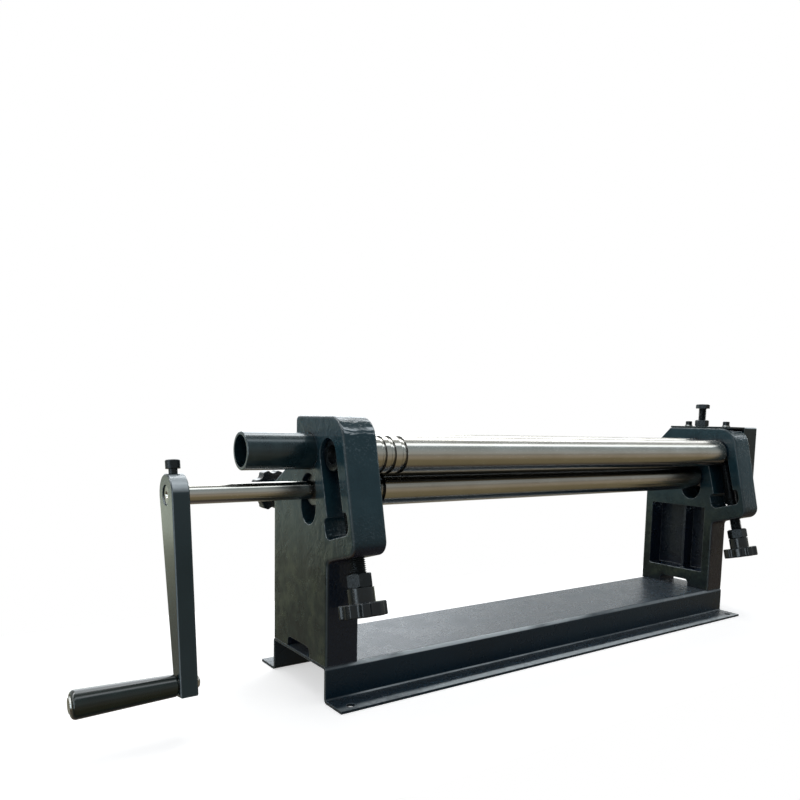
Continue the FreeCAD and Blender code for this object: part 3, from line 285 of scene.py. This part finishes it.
def frame_paint(finish, at, mottle, ripples, rounded):
    """Colour of a cast frame: clouded paint, painted shade low on the column, in corners and in bays, a painted
    warm reflection, and painted highlights on fillets, crests, rims and sparkles.
    """
    cloud = finish.noise(finish.place, 14.0, 4.0, 0.6)
    grain = finish.weighted((cloud, 0.55), (mottle, 0.45))
    olive = finish.ramp(grain, [
        (0.41, (0.0010, 0.0055, 0.0070)), (0.50, (0.0085, 0.0180, 0.0170)),
        (0.60, (0.0380, 0.0500, 0.0330))])
    teal = finish.ramp(grain, [
        (0.34, (0.0065, 0.0265, 0.0380)), (0.50, (0.0100, 0.0350, 0.0470)),
        (0.66, (0.0145, 0.0420, 0.0550))])
    # Painted shade: the column below the head is painted darker, standing in for the shade under the nose
    paint = finish.blend(
        finish.span(at.z, *HEAD_LEVELS), finish.blend(at.machined, SHADED_COLUMN, olive), teal)
    # Painted reflection of a warm brown ground, under the nose and on the right column's front, patchy with the
    # mottle
    warm_reflection = finish.math("MULTIPLY", finish.math("MAXIMUM", at.under_nose, at.right_column),
                        finish.span(mottle, 0.30, 0.60, 0.75, 1.0))
    paint = finish.blend(warm_reflection, paint, PAINTED_WARM_REFLECTION)
    # Painted highlight on the fillets between the side faces and the rest
    paint = finish.blend(finish.math("MULTIPLY", at.fillet, 0.75), paint, FILLET_SHINE)
    # Painted shade: darker in corners, as far as other faces lie near, and in the recess's bays
    openness = finish.openness(reach=0.016)
    paint = finish.blend(finish.span(openness, 0.45, 0.85), CORNER_SHADOW, paint)
    paint = finish.blend(finish.math("MULTIPLY", at.bay, 0.8), paint, BAY_SHADOW)

    # Painted sparkles of light, faint on the brow and strong on the chamber's foot
    chamber_foot = finish.product(
        at.chamber, finish.span(openness, 0.85, 0.60), finish.span(at.z, *CHAMBER_FOOT_LEVELS))
    sparkle_spots = finish.span(finish.noise(finish.place, 420.0, 3.0, 0.6, 0.5), 0.56, 0.66)
    painted_sparkles = finish.math(
        "MULTIPLY", sparkle_spots, finish.weighted((at.brow, 0.09), (chamber_foot, 0.80)))
    paint = finish.blend(painted_sparkles, paint, SPARKLE_SHINE)

    # Painted highlights: light lines along the crown where the rippled surface tilts to three set angles
    tilt = finish.weighted((at.facing_z, 1.0), (ripples, 0.42))
    crest_highlights = finish.weighted(*(
        (finish.math("MULTIPLY", finish.span(tilt, crest - 0.045, crest - 0.01),
                     finish.span(tilt, crest + 0.045, crest + 0.01)), weight)
        for crest, weight in ((0.62, 0.6), (0.76, 1.0), (1.08, 0.8))))
    crest_highlights = finish.product(
        crest_highlights, at.raw, finish.span(at.z, *CREST_LEVELS),
        finish.span(mottle, 0.38, 0.55, 0.25, 0.9))
    paint = finish.blend(crest_highlights, paint, CREST_SHINE)

    # Painted highlight along sharp edges, strongest where they face upward, broken into glints, faint on the crown
    rim = finish.product(finish.edges(rounded, 4.5), finish.span(at.crown, 0.0, 1.0, 1.0, 0.15))
    glints = finish.span(finish.noise(finish.place, 240.0, 3.0), 0.40, 0.56, 0.35, 1.0)
    upward = finish.span(finish.split(rounded)[2], 0.05, 0.35, 0.15, 1.0)
    return finish.blend(finish.product(rim, glints, upward), paint, RIM_SHINE)


def frame_relief(finish, at, ripples):
    """Height of the enamel's surface: a slow swell, fine pits, and ripples on the crown."""
    swell = finish.noise(finish.place, 70.0, 3.0, 0.55, 0.4)
    pits = finish.noise(finish.place, 380.0, 3.0, 0.6)
    patches = finish.span(finish.noise(finish.place, 13.0, 2.0), 0.42, 0.60, 0.30, 1.0)
    return finish.weighted(
        (finish.product(swell, finish.span(at.machined, 0.0, 1.0, 0.70, 0.0)), 1.0),
        (finish.product(swell, at.machined, patches), 1.10),
        (finish.product(pits, at.machined, patches), 0.09),
        (finish.product(pits, finish.span(at.machined, 0.0, 1.0, 0.20, 0.04)), 1.0),
        (finish.product(pits, finish.math("MAXIMUM", at.chamber, at.bay)), 1.0),
        (finish.product(pits, at.brow), 0.35),
        (finish.product(ripples, at.crown), 1.0))


def cast_enamel():
    """Thick gloss enamel: wet ripples along the crown, calmer and clouded on the side faces."""
    finish = Finish("frame_enamel", Specular_IOR_Level=0.20, Coat_Weight=0.12,
                    Coat_IOR=1.75, Coat_Roughness=0.05)
    at = frame_regions(finish)
    mottle = finish.noise(finish.place, 75.0, 4.0, 0.6)
    ripples = finish.noise(finish.stretched(0.30, 1.0, 1.0), 150.0, 3.0, 0.6, 0.8)
    rounded = finish.rounded(0.0018)
    finish.set("Base Color", frame_paint(finish, at, mottle, ripples, rounded))
    smear = finish.noise(finish.place, 45.0, 3.0, 0.6)
    finish.set("Roughness", finish.math(
        "SUBTRACT", finish.span(smear, 0.3, 0.75, 0.24, 0.36),
        finish.math("MULTIPLY", at.crown, 0.17)))
    finish.set("Normal", finish.bump(frame_relief(finish, at, ripples), 0.0011, rounded))
    return finish.material


# Places on the base, in metres, that its painted highlight lines fade between: the bends dim to
# the right, at the left end and low down; the lip is the outer strip of the flanges, dimmer at both ends
BEND_RIGHT_X = (-0.10, 0.06)
BEND_LEFT_END_X = (-0.325, -0.300)
BEND_FOOT_Z = (0.012, 0.025)
LIP_Y = (0.0845, 0.0905)
LIP_Z = (0.0045, 0.0035)
LIP_LEFT_X = (-0.33, -0.12)
LIP_RIGHT_X = (0.30, 0.05)


def base_shine(finish, bend, over_sheet):
    """How strongly the painted highlight shows on the base: its bends, and the lips of its flanges."""
    x, y, z = finish.split(finish.place)
    bend = finish.product(
        bend, finish.span(x, *BEND_RIGHT_X, 1.3, 0.35),
        finish.span(x, *BEND_LEFT_END_X, 0.15, 1.0), finish.span(z, *BEND_FOOT_Z, 0.55, 1.0))
    lip = finish.product(
        finish.span(over_sheet, 0.8, 0.95), finish.span(z, *LIP_Z),
        finish.span(finish.math("ABSOLUTE", y), *LIP_Y),
        finish.span(x, *LIP_LEFT_X, 0.20, 1.0), finish.span(x, *LIP_RIGHT_X, 0.35, 1.0))
    return finish.math("MAXIMUM", bend, finish.math("MULTIPLY", lip, 2.3))


def sheet_enamel(name, peel_depth, roughness, paint, specular=0.45, sheen=0.0, shading=None):
    """Sprayed enamel on smooth steel: fine orange peel and a painted highlight along edges and bends.

    shading, where given, changes how strongly the painted highlight on the bends shows from place to place.
    """
    finish = Finish(name, Specular_IOR_Level=specular, Sheen_Weight=sheen, Sheen_Roughness=0.3)
    patches = finish.noise(finish.place, 9.0, 4.0, 0.6)
    red, green, blue = paint
    tone = finish.ramp(patches, [
        (0.30, (red * 0.7, green * 0.8, blue * 0.8)), (0.50, paint),
        (0.72, (red * 1.5, green * 1.2, blue * 1.15))])
    rounded = finish.rounded(0.0008)
    # Painted highlight: lighter along sharp edges and over the bends
    rim = finish.edges(rounded, 2.5)
    _, across_sheet, over_sheet = finish.split(finish.facing)
    shine = finish.span(finish.math(
        "MULTIPLY", finish.math("ABSOLUTE", across_sheet), over_sheet), 0.18, 0.40)
    if shading:
        shine = shading(finish, shine, over_sheet)
    # worn: noise that breaks the painted highlight on the bends into patches
    worn = finish.span(
        finish.noise(finish.stretched(0.3, 1.0, 1.0), 60.0, 4.0), 0.28, 0.52, 0.35, 1.0)
    painted_highlight = finish.math(
        "MAXIMUM", finish.math("MULTIPLY", rim, 0.6), finish.math("MULTIPLY", shine, worn))
    finish.set("Base Color", finish.blend(painted_highlight, tone, SHEET_SHINE))
    smear = finish.noise(finish.place, 22.0, 5.0, 0.65)
    finish.set("Roughness", finish.span(smear, 0.3, 0.7, roughness - 0.05, roughness + 0.08))
    peel = finish.weighted(
        (finish.noise(finish.place, 420.0, 2.0), 0.6),
        (finish.noise(finish.place, 1300.0, 2.0), 0.4))
    finish.set("Normal", finish.bump(peel, peel_depth, rounded))
    return finish.material


# Linear colours of the rolls: painted shade on their turned end faces, and painted shade where they
# face each other under the upper roll, which lies between these levels and ends short of the frames, in metres
PAINTED_SHADE_END = (0.17, 0.17, 0.165)
PAINTED_SHADE_STEEL = (0.030, 0.036, 0.042)
SHADE_TOP_Z = (0.237, 0.230)
SHADE_END_X = (0.325, 0.305)


def ground_steel():
    """Ground roll: fine lines round the axis that draw reflections out along it."""
    finish = Finish("roll_steel", Metallic=1.0, Anisotropic=0.9, Anisotropic_Rotation=0.25)
    finish.set("Tangent", finish.node(
        "ShaderNodeTangent", direction_type="RADIAL", axis="X").outputs[0])
    lines = finish.noise(finish.stretched(1.0, 0.02, 0.02), 2600.0, 3.0, 0.6)
    bands = finish.noise(finish.stretched(1.0, 0.15, 0.15), 22.0, 4.0, 0.6)
    stains = finish.noise(finish.stretched(0.25, 1.0, 1.0), 70.0, 4.0, 0.65)
    metal = finish.ramp(finish.weighted((bands, 0.35), (stains, 0.65)), [
        (0.30, (0.46, 0.44, 0.40)), (0.55, (0.52, 0.505, 0.475)), (0.75, (0.57, 0.56, 0.54))])
    # Painted shade: the end faces are darker than the body of the roll
    ends = finish.span(finish.math("ABSOLUTE", finish.split(finish.facing)[0]), 0.80, 0.95)
    metal = finish.blend(ends, metal, PAINTED_SHADE_END)
    along, _, up = finish.split(finish.place)
    # Painted shade where the rolls face each other under the upper roll, deeper where other faces lie near
    below_upper_roll = finish.product(
        finish.span(up, *SHADE_TOP_Z), finish.span(finish.math("ABSOLUTE", along), *SHADE_END_X))
    painted_shade = finish.math(
        "MULTIPLY", finish.span(finish.openness(reach=0.034), 0.85, 0.42), below_upper_roll)
    finish.set("Base Color", finish.blend(painted_shade, metal, PAINTED_SHADE_STEEL))
    finish.set("Roughness", finish.math(
        "ADD", finish.span(lines, 0.2, 0.8, 0.14, 0.19),
        finish.span(stains, 0.45, 0.8, 0.0, 0.04)))
    finish.set("Normal", finish.bump(lines, 0.000006, finish.rounded(0.0005)))
    return finish.material


def turned_steel(name, dark, light, roughness, mark=1800.0):
    """Bare or oiled steel with fine machining lines and soft stains."""
    finish = Finish(name, Metallic=1.0)
    stains = finish.noise(finish.place, 120.0, 4.0, 0.6)
    finish.set("Base Color", finish.ramp(stains, [(0.32, dark), (0.68, light)]))
    lines = finish.noise(finish.stretched(1.0, 0.1, 0.1), mark, 2.0)
    finish.set("Roughness", finish.span(
        finish.math("ADD", lines, stains), 0.7, 1.3, roughness - 0.06, roughness + 0.10))
    finish.set("Normal", finish.bump(lines, 0.00003, finish.rounded(0.0005)))
    return finish.material


def blued_steel():
    """Tube of the release sleeve: dark blue-black finish, worn brighter on its edges."""
    finish = Finish("sleeve_steel", Metallic=0.35, Specular_IOR_Level=0.5, Coat_Weight=0.5,
                    Coat_Roughness=0.10)
    stains = finish.noise(finish.stretched(1.0, 0.5, 0.5), 60.0, 4.0, 0.6)
    rounded = finish.rounded(0.0007)
    wear = finish.math("MULTIPLY", finish.edges(rounded, 2.5), 0.7)
    blue = finish.ramp(stains, [
        (0.30, (0.004, 0.016, 0.023)), (0.55, (0.008, 0.025, 0.032)),
        (0.75, (0.016, 0.036, 0.043))])
    finish.set("Base Color", finish.blend(wear, blue, (0.20, 0.24, 0.25)))
    finish.set("Roughness", finish.span(stains, 0.3, 0.7, 0.22, 0.34))
    lines = finish.noise(finish.stretched(1.0, 0.05, 0.05), 1500.0, 2.0)
    finish.set("Normal", finish.bump(lines, 0.00002, rounded))
    return finish.material


def oxide():
    """Black oxide on bolts, screws and nuts: satin, a little brown in places."""
    finish = Finish("black_oxide", Metallic=0.6, Specular_IOR_Level=0.7)
    stains = finish.noise(finish.place, 260.0, 4.0, 0.65)
    rounded = finish.rounded(0.0004)
    wear = finish.math("MULTIPLY", finish.edges(rounded, 2.0), 0.35)
    skin = finish.ramp(stains, [
        (0.30, (0.006, 0.010, 0.013)), (0.58, (0.011, 0.016, 0.020)),
        (0.80, (0.022, 0.024, 0.025))])
    finish.set("Base Color", finish.blend(wear, skin, (0.12, 0.12, 0.12)))
    finish.set("Roughness", finish.span(stains, 0.25, 0.8, 0.22, 0.40))
    finish.set("Normal", finish.bump(
        finish.noise(finish.place, 1800.0, 2.0), 0.00006, rounded))
    return finish.material


def moulded(name, light, dark, roughness, grain, specular):
    """Moulded plastic with a faint grain."""
    finish = Finish(name, Specular_IOR_Level=specular)
    cloud = finish.noise(finish.place, 90.0, 3.0, 0.6)
    rounded = finish.rounded(0.0006)
    skin = finish.ramp(cloud, [(0.32, dark), (0.70, light)])
    finish.set("Base Color", finish.blend(
        finish.math("MULTIPLY", finish.edges(rounded, 1.8), 0.3), skin, (0.05, 0.055, 0.057)))
    finish.set("Roughness", finish.span(cloud, 0.3, 0.7, roughness - 0.04, roughness + 0.06))
    finish.set("Normal", finish.bump(
        finish.noise(finish.place, 2200.0, 2.0), grain, rounded))
    return finish.material


def make_finishes():
    """One material for each slot of the record, named after it."""
    return {
        "frame_enamel": cast_enamel(),
        "base_enamel": sheet_enamel(
            "base_enamel", 0.00050, 0.26, (0.0006, 0.0115, 0.0230), specular=0.27, sheen=0.22,
            shading=base_shine),
        "crank_enamel": sheet_enamel("crank_enamel", 0.00008, 0.15, (0.0095, 0.0260, 0.0330)),
        "cover_enamel": sheet_enamel(
            "cover_enamel", 0.00016, 0.30, (0.0040, 0.0130, 0.0160), specular=0.28),
        "roll_steel": ground_steel(),
        "bush_steel": turned_steel(
            "bush_steel", (0.075, 0.080, 0.085), (0.16, 0.165, 0.17), 0.30),
        "sleeve_steel": blued_steel(),
        "gear_steel": turned_steel(
            "gear_steel", (0.24, 0.23, 0.22), (0.42, 0.41, 0.39), 0.34, mark=900.0),
        "black_oxide": oxide(),
        "zinc_steel": turned_steel(
            "zinc_steel", (0.34, 0.34, 0.33), (0.50, 0.50, 0.48), 0.28, mark=1200.0),
        "knob_plastic": moulded(
            "knob_plastic", (0.004, 0.009, 0.0135), (0.0020, 0.0055, 0.0085), 0.13, 0.00008,
            specular=0.50),
        "grip_plastic": moulded(
            "grip_plastic", (0.0012, 0.0090, 0.0075), (0.0006, 0.0060, 0.0050), 0.14, 0.00001,
            specular=0.60),
    }


# --- Studio ---------------------------------------------------------------------------------

def view_rays(tree):
    """Masks of the rays that see the background straight or through glass, and of mirrored ones."""
    rays = tree.node("ShaderNodeLightPath").outputs
    seen = tree.math("MAXIMUM", rays["Is Camera Ray"], rays["Is Transmission Ray"])
    return seen, rays["Is Glossy Ray"]


# What a polished roll shows of the room: degrees round the X axis, from straight ahead of the
# rolls (0) over the top (90) to behind them (180), each with the colour seen there. Two long
# windows run along the room, one high in front and a stronger one behind.
ROOM = (
    (-180, (0.38, 0.47, 0.52)), (-173, (0.74, 0.77, 0.56)), (-165, (0.26, 0.25, 0.19)),
    (-130, (0.25, 0.22, 0.17)), (-108, (0.15, 0.13, 0.12)), (-92, (0.08, 0.07, 0.065)),
    (-76, (0.09, 0.075, 0.06)), (-64, (0.20, 0.17, 0.10)), (-35, (0.24, 0.20, 0.12)),
    (-18, (0.37, 0.32, 0.24)), (-6, (0.36, 0.32, 0.26)), (0, (0.32, 0.31, 0.27)),
    (10, (0.46, 0.46, 0.43)), (30, (0.42, 0.46, 0.46)), (50, (0.34, 0.39, 0.40)),
    (58, (0.50, 0.58, 0.62)), (64, (2.60, 2.80, 2.90)), (72, (2.60, 2.75, 2.80)),
    (78, (0.50, 0.53, 0.52)), (92, (0.45, 0.48, 0.47)), (98, (0.80, 0.82, 0.80)),
    (107, (0.60, 0.62, 0.60)), (112, (6.60, 6.80, 6.90)), (123, (6.60, 6.80, 6.90)),
    (129, (0.90, 0.90, 0.87)), (150, (0.85, 0.85, 0.82)), (158, (0.86, 0.88, 0.87)),
    (168, (0.80, 0.83, 0.83)), (180, (0.38, 0.47, 0.52)),
)
ROOM_STRENGTH = 7.0

# Colours of the room's smaller openings and of its dark end, as shares of ROOM_STRENGTH
REAR_WINDOW = (0.420, 0.441, 0.458)
FAR_END = (0.060, 0.062, 0.060)
DOORWAY = (0.190, 0.208, 0.170)
SIDE_WINDOW = (0.48, 0.56, 0.61)


def room_seen(tree):
    """Colour of the room in the direction of a ray: right (across), back (depth) and up."""
    across, depth, height = tree.split(tree.node("ShaderNodeTexCoord").outputs["Generated"])
    around = tree.math("ARCTAN2", height, tree.math("MULTIPLY", depth, -1.0))
    room = tree.ramp(tree.span(around, -math.pi, math.pi), [
        (degrees / 360 + 0.5, tuple(part / ROOM_STRENGTH for part in colour))
        for degrees, colour in ROOM])
    # A window behind, over a slanting sill and with a dim strip beyond it on the right: it
    # shines on the base's top and along the upper outlines of round parts
    sill = tree.weighted((height, 1.0), (across, 1.2))
    rear_window = tree.product(
        tree.math("MAXIMUM", tree.span(across, 0.66, 0.53),
                  tree.span(across, 0.84, 0.78, 0.0, 0.16)),
        tree.span(across, -0.1, 0.1), tree.span(height, 0.08, 0.16),
        tree.span(sill, 1.30, 1.06), tree.span(depth, 0.1, 0.3))
    room = tree.blend(rear_window, room, REAR_WINDOW)
    # The dark right end of the room, which dims the line along the rolls towards the right
    far_end = tree.product(
        tree.span(across, 0.70, 0.82, 0.0, 0.70), tree.span(height, 0.30, 0.40),
        tree.span(depth, 0.0, 0.15))
    room = tree.blend(far_end, room, FAR_END)
    # A low opening behind, seen in the upper half of the crank arm's outer face
    doorway = tree.product(
        tree.span(height, -0.160, -0.151), tree.span(height, -0.075, -0.112),
        tree.span(across, -0.39, -0.34), tree.span(depth, 0.3, 0.5))
    room = tree.blend(doorway, room, DOORWAY)
    # A window on the left, seen in upright screws, knobs and rounded corners
    side_window = tree.product(
        tree.span(across, -0.84, -0.91), tree.span(depth, -0.40, -0.34),
        tree.span(depth, -0.12, -0.18), tree.span(height, -0.30, -0.20),
        tree.span(height, 0.40, 0.30))
    return tree.blend(side_window, room, SIDE_WINDOW)


def add_world():
    """White background, a long room in reflections, and an even soft light."""
    world = bpy.data.worlds.new("studio")
    world.cycles.sampling_method = "NONE"
    bpy.context.scene.world = world
    tree = Tree(world)
    seen, mirrored = view_rays(tree)
    soft = tree.node("ShaderNodeBackground", {"Color": (0.94, 0.97, 1.0, 1.0), "Strength": 0.50})
    reflected = tree.node(
        "ShaderNodeBackground", {"Color": room_seen(tree), "Strength": ROOM_STRENGTH})
    white = tree.node("ShaderNodeBackground", {"Color": (1.0, 1.0, 1.0, 1.0), "Strength": 1.0})
    lit = tree.node("ShaderNodeMixShader", {
        0: mirrored, 1: soft.outputs[0], 2: reflected.outputs[0]})
    shown = tree.node("ShaderNodeMixShader", {
        0: seen, 1: lit.outputs[0], 2: white.outputs[0]})
    output = tree.node("ShaderNodeOutputWorld")
    tree.tree.links.new(shown.outputs[0], output.inputs["Surface"])


def add_floor():
    """Pale floor that keeps the soft shadow and runs into the white background."""
    left, right, front, rear = -0.76, 0.56, -0.26, 0.36
    mesh = bpy.data.meshes.new("floor")
    mesh.from_pydata(
        [(left, front, 0.0), (right, front, 0.0), (right, rear, 0.0), (left, rear, 0.0)],
        [], [(0, 1, 2, 3)])
    floor = bpy.data.objects.new("floor", mesh)
    bpy.context.scene.collection.objects.link(floor)
    material = bpy.data.materials.new("floor")
    tree = Tree(material)
    seen, _ = view_rays(tree)
    pale = tree.node("ShaderNodeBsdfDiffuse", {"Color": (0.90, 0.895, 0.89, 1.0)})
    lift = tree.node("ShaderNodeEmission", {
        "Color": (1.0, 1.0, 1.0, 1.0), "Strength": tree.math("MULTIPLY", seen, 0.54)})
    both = tree.node("ShaderNodeAddShader", {0: pale.outputs[0], 1: lift.outputs[0]})
    output = tree.node("ShaderNodeOutputMaterial")
    tree.tree.links.new(both.outputs[0], output.inputs["Surface"])
    mesh.materials.append(material)
    floor.visible_glossy = False


def add_lamp(name, place, aim, width, depth, radiance):
    """Soft rectangular lamp with an even radiance."""
    lamp = bpy.data.lights.new(name, "AREA")
    lamp.shape = "RECTANGLE"
    lamp.size = width
    lamp.size_y = depth
    lamp.energy = radiance * math.pi * width * depth
    holder = bpy.data.objects.new(name, lamp)
    holder.location = place
    holder.rotation_euler = (Vector(aim) - Vector(place)).to_track_quat("-Z", "Y").to_euler()
    holder.visible_camera = False
    holder.visible_glossy = False
    bpy.context.scene.collection.objects.link(holder)


def add_lamps():
    """Lamps that only light; the windows that shine in reflections belong to the room."""
    add_lamp("overhead_front", (0.1, -0.10, 1.5), (0.0, -0.08, 0.1), 1.9, 0.30, 2.4)
    add_lamp("overhead_rear", (0.1, 0.60, 1.45), (0.0, 0.0, 0.1), 1.9, 0.50, 2.0)
    add_lamp("left_fill", (-1.7, 0.35, 0.75), (-0.2, 0.0, 0.15), 0.9, 0.9, 0.8)


# --- Threaded pieces ------------------------------------------------------------------------

def ring_mesh(name, origin, axis, levels, radius_at, segments):
    """Closed body of rings square to an axis; radius_at takes a level and an angle."""
    upright = abs(axis.z) > 0.9999
    side = Vector((1.0, 0.0, 0.0)) if upright else axis.orthogonal().normalized()
    up = axis.cross(side)
    angles = [2 * math.pi * step / segments for step in range(segments)]
    mesh = bmesh.new()
    rings = []
    for level in levels:
        centre = origin + axis * level
        rings.append([
            mesh.verts.new(centre + (side * math.cos(a) + up * math.sin(a)) * radius_at(level, a))
            for a in angles])
    for low, high in zip(rings, rings[1:]):
        for step in range(segments):
            beside = (step + 1) % segments
            mesh.faces.new((low[step], low[beside], high[beside], high[step]))
    mesh.faces.new(list(reversed(rings[0])))
    mesh.faces.new(rings[-1])
    made = bpy.data.meshes.new(name)
    mesh.to_mesh(made)
    mesh.free()
    made.shade_smooth()
    made.set_sharp_from_angle(angle=SHARP_ANGLE)
    piece = bpy.data.objects.new(name, made)
    bpy.context.scene.collection.objects.link(piece)
    return piece


def dress_piece(piece, node, body, slot, finishes):
    """The piece takes a CAD node's place on its body, in the finish of a slot."""
    piece.data.materials.append(finishes[slot])
    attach(piece, body)
    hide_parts(node)


def thread_radius(level, angle, radius, pitch):
    """Flank of a right-hand thread whose crest lies at radius."""
    phase = (level / pitch - angle / (2 * math.pi)) % 1.0
    crest = min(max((abs(2 * phase - 1) - ROOT_FLAT) / FLANK, 0.0), 1.0)
    return radius - THREAD_DEPTH * pitch * (1.0 - crest)


def steps_between(start, finish, count):
    return [start + (finish - start) * step / count for step in range(count + 1)]


def turning_line(body):
    """Point on the line that an adjuster turns about, and its direction towards the knob."""
    joint = next(joint for joint in frame["joints"] if joint["child"] == body)
    return Vector(joint["pos_m"]), -Vector(joint["axis"])


def reach_along(node, origin, axis):
    """First and last level of a node along an axis, and its largest radius round it."""
    offsets = [vertex.co - origin for vertex in nodes[node].data.vertices]
    levels = [offset.dot(axis) for offset in offsets]
    radius = max((offset - axis * level).length for offset, level in zip(offsets, levels))
    return min(levels), max(levels), radius


def threaded_screw(node, body, pitch, finishes):
    """Screw threaded over its whole length, with both ends turned down to the root."""
    origin, axis = turning_line(body)
    start, finish, radius = reach_along(node, origin, axis)
    root = radius - THREAD_DEPTH * pitch

    def radius_at(level, angle):
        end = root + min(level - start, finish - level)
        return min(thread_radius(level, angle, radius, pitch), end)
    turns = math.ceil((finish - start) / pitch)
    piece = ring_mesh(
        node + "_threaded", origin, axis, steps_between(start, finish, turns * RINGS_PER_TURN),
        radius_at, SCREW_SEGMENTS)
    dress_piece(piece, node, body, "black_oxide", finishes)


def clamp_screw(finishes):
    """Hexagon bolt that clamps the upper bearing: chamfered head and a threaded shank."""
    node = "clamp_bolt"
    (x0, y0, z0), (x1, y1, z1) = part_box(node)
    half_flats = (y1 - y0) / 2
    top_radius = 0.95 * half_flats
    head = z1 - CLAMP_HEAD
    root = CLAMP_RADIUS - THREAD_DEPTH * FINE_PITCH

    def radius_at(level, angle):
        if level >= head:
            corner = half_flats / math.cos(angle % (math.pi / 3) - math.pi / 6)
            return min(corner, top_radius + (z1 - level) * math.sqrt(3))
        return min(thread_radius(level, angle, CLAMP_RADIUS, FINE_PITCH), root + level - z0)
    turns = math.ceil((head - z0) / FINE_PITCH)
    levels = steps_between(z0, head - HEAD_STEP, turns * RINGS_PER_TURN)
    levels += [head] + steps_between(z1 - CLAMP_CHAMFER, z1, CHAMFER_RINGS)
    piece = ring_mesh(
        node + "_threaded", Vector(((x0 + x1) / 2, (y0 + y1) / 2, 0.0)), Vector((0.0, 0.0, 1.0)),
        levels, radius_at, CLAMP_SEGMENTS)
    dress_piece(piece, node, "stand", "black_oxide", finishes)


def add_threaded_pieces(finishes):
    """Threaded forms in place of the plain screws and of the clamp bolt."""
    for side in ("left", "right"):
        threaded_screw(
            f"bending_screw_{side}", f"bending_adjuster_{side}", BENDING_PITCH, finishes)
        threaded_screw(f"lower_screw_{side}", f"lower_adjuster_{side}", FINE_PITCH, finishes)
    clamp_screw(finishes)


# --- Dressing -------------------------------------------------------------------------------

def dress_nodes(finishes):
    """Each CAD part takes the finish of its slot in the record."""
    for part in frame["record"]["subparts"]:
        mesh = nodes[part["node"]].data
        mesh.materials.clear()
        mesh.materials.append(finishes[part["material_slot"]])


bpy.context.scene.view_settings.view_transform = "Standard"
add_camera()
add_world()
add_floor()
add_lamps()
finishes = make_finishes()
dress_nodes(finishes)
add_threaded_pieces(finishes)
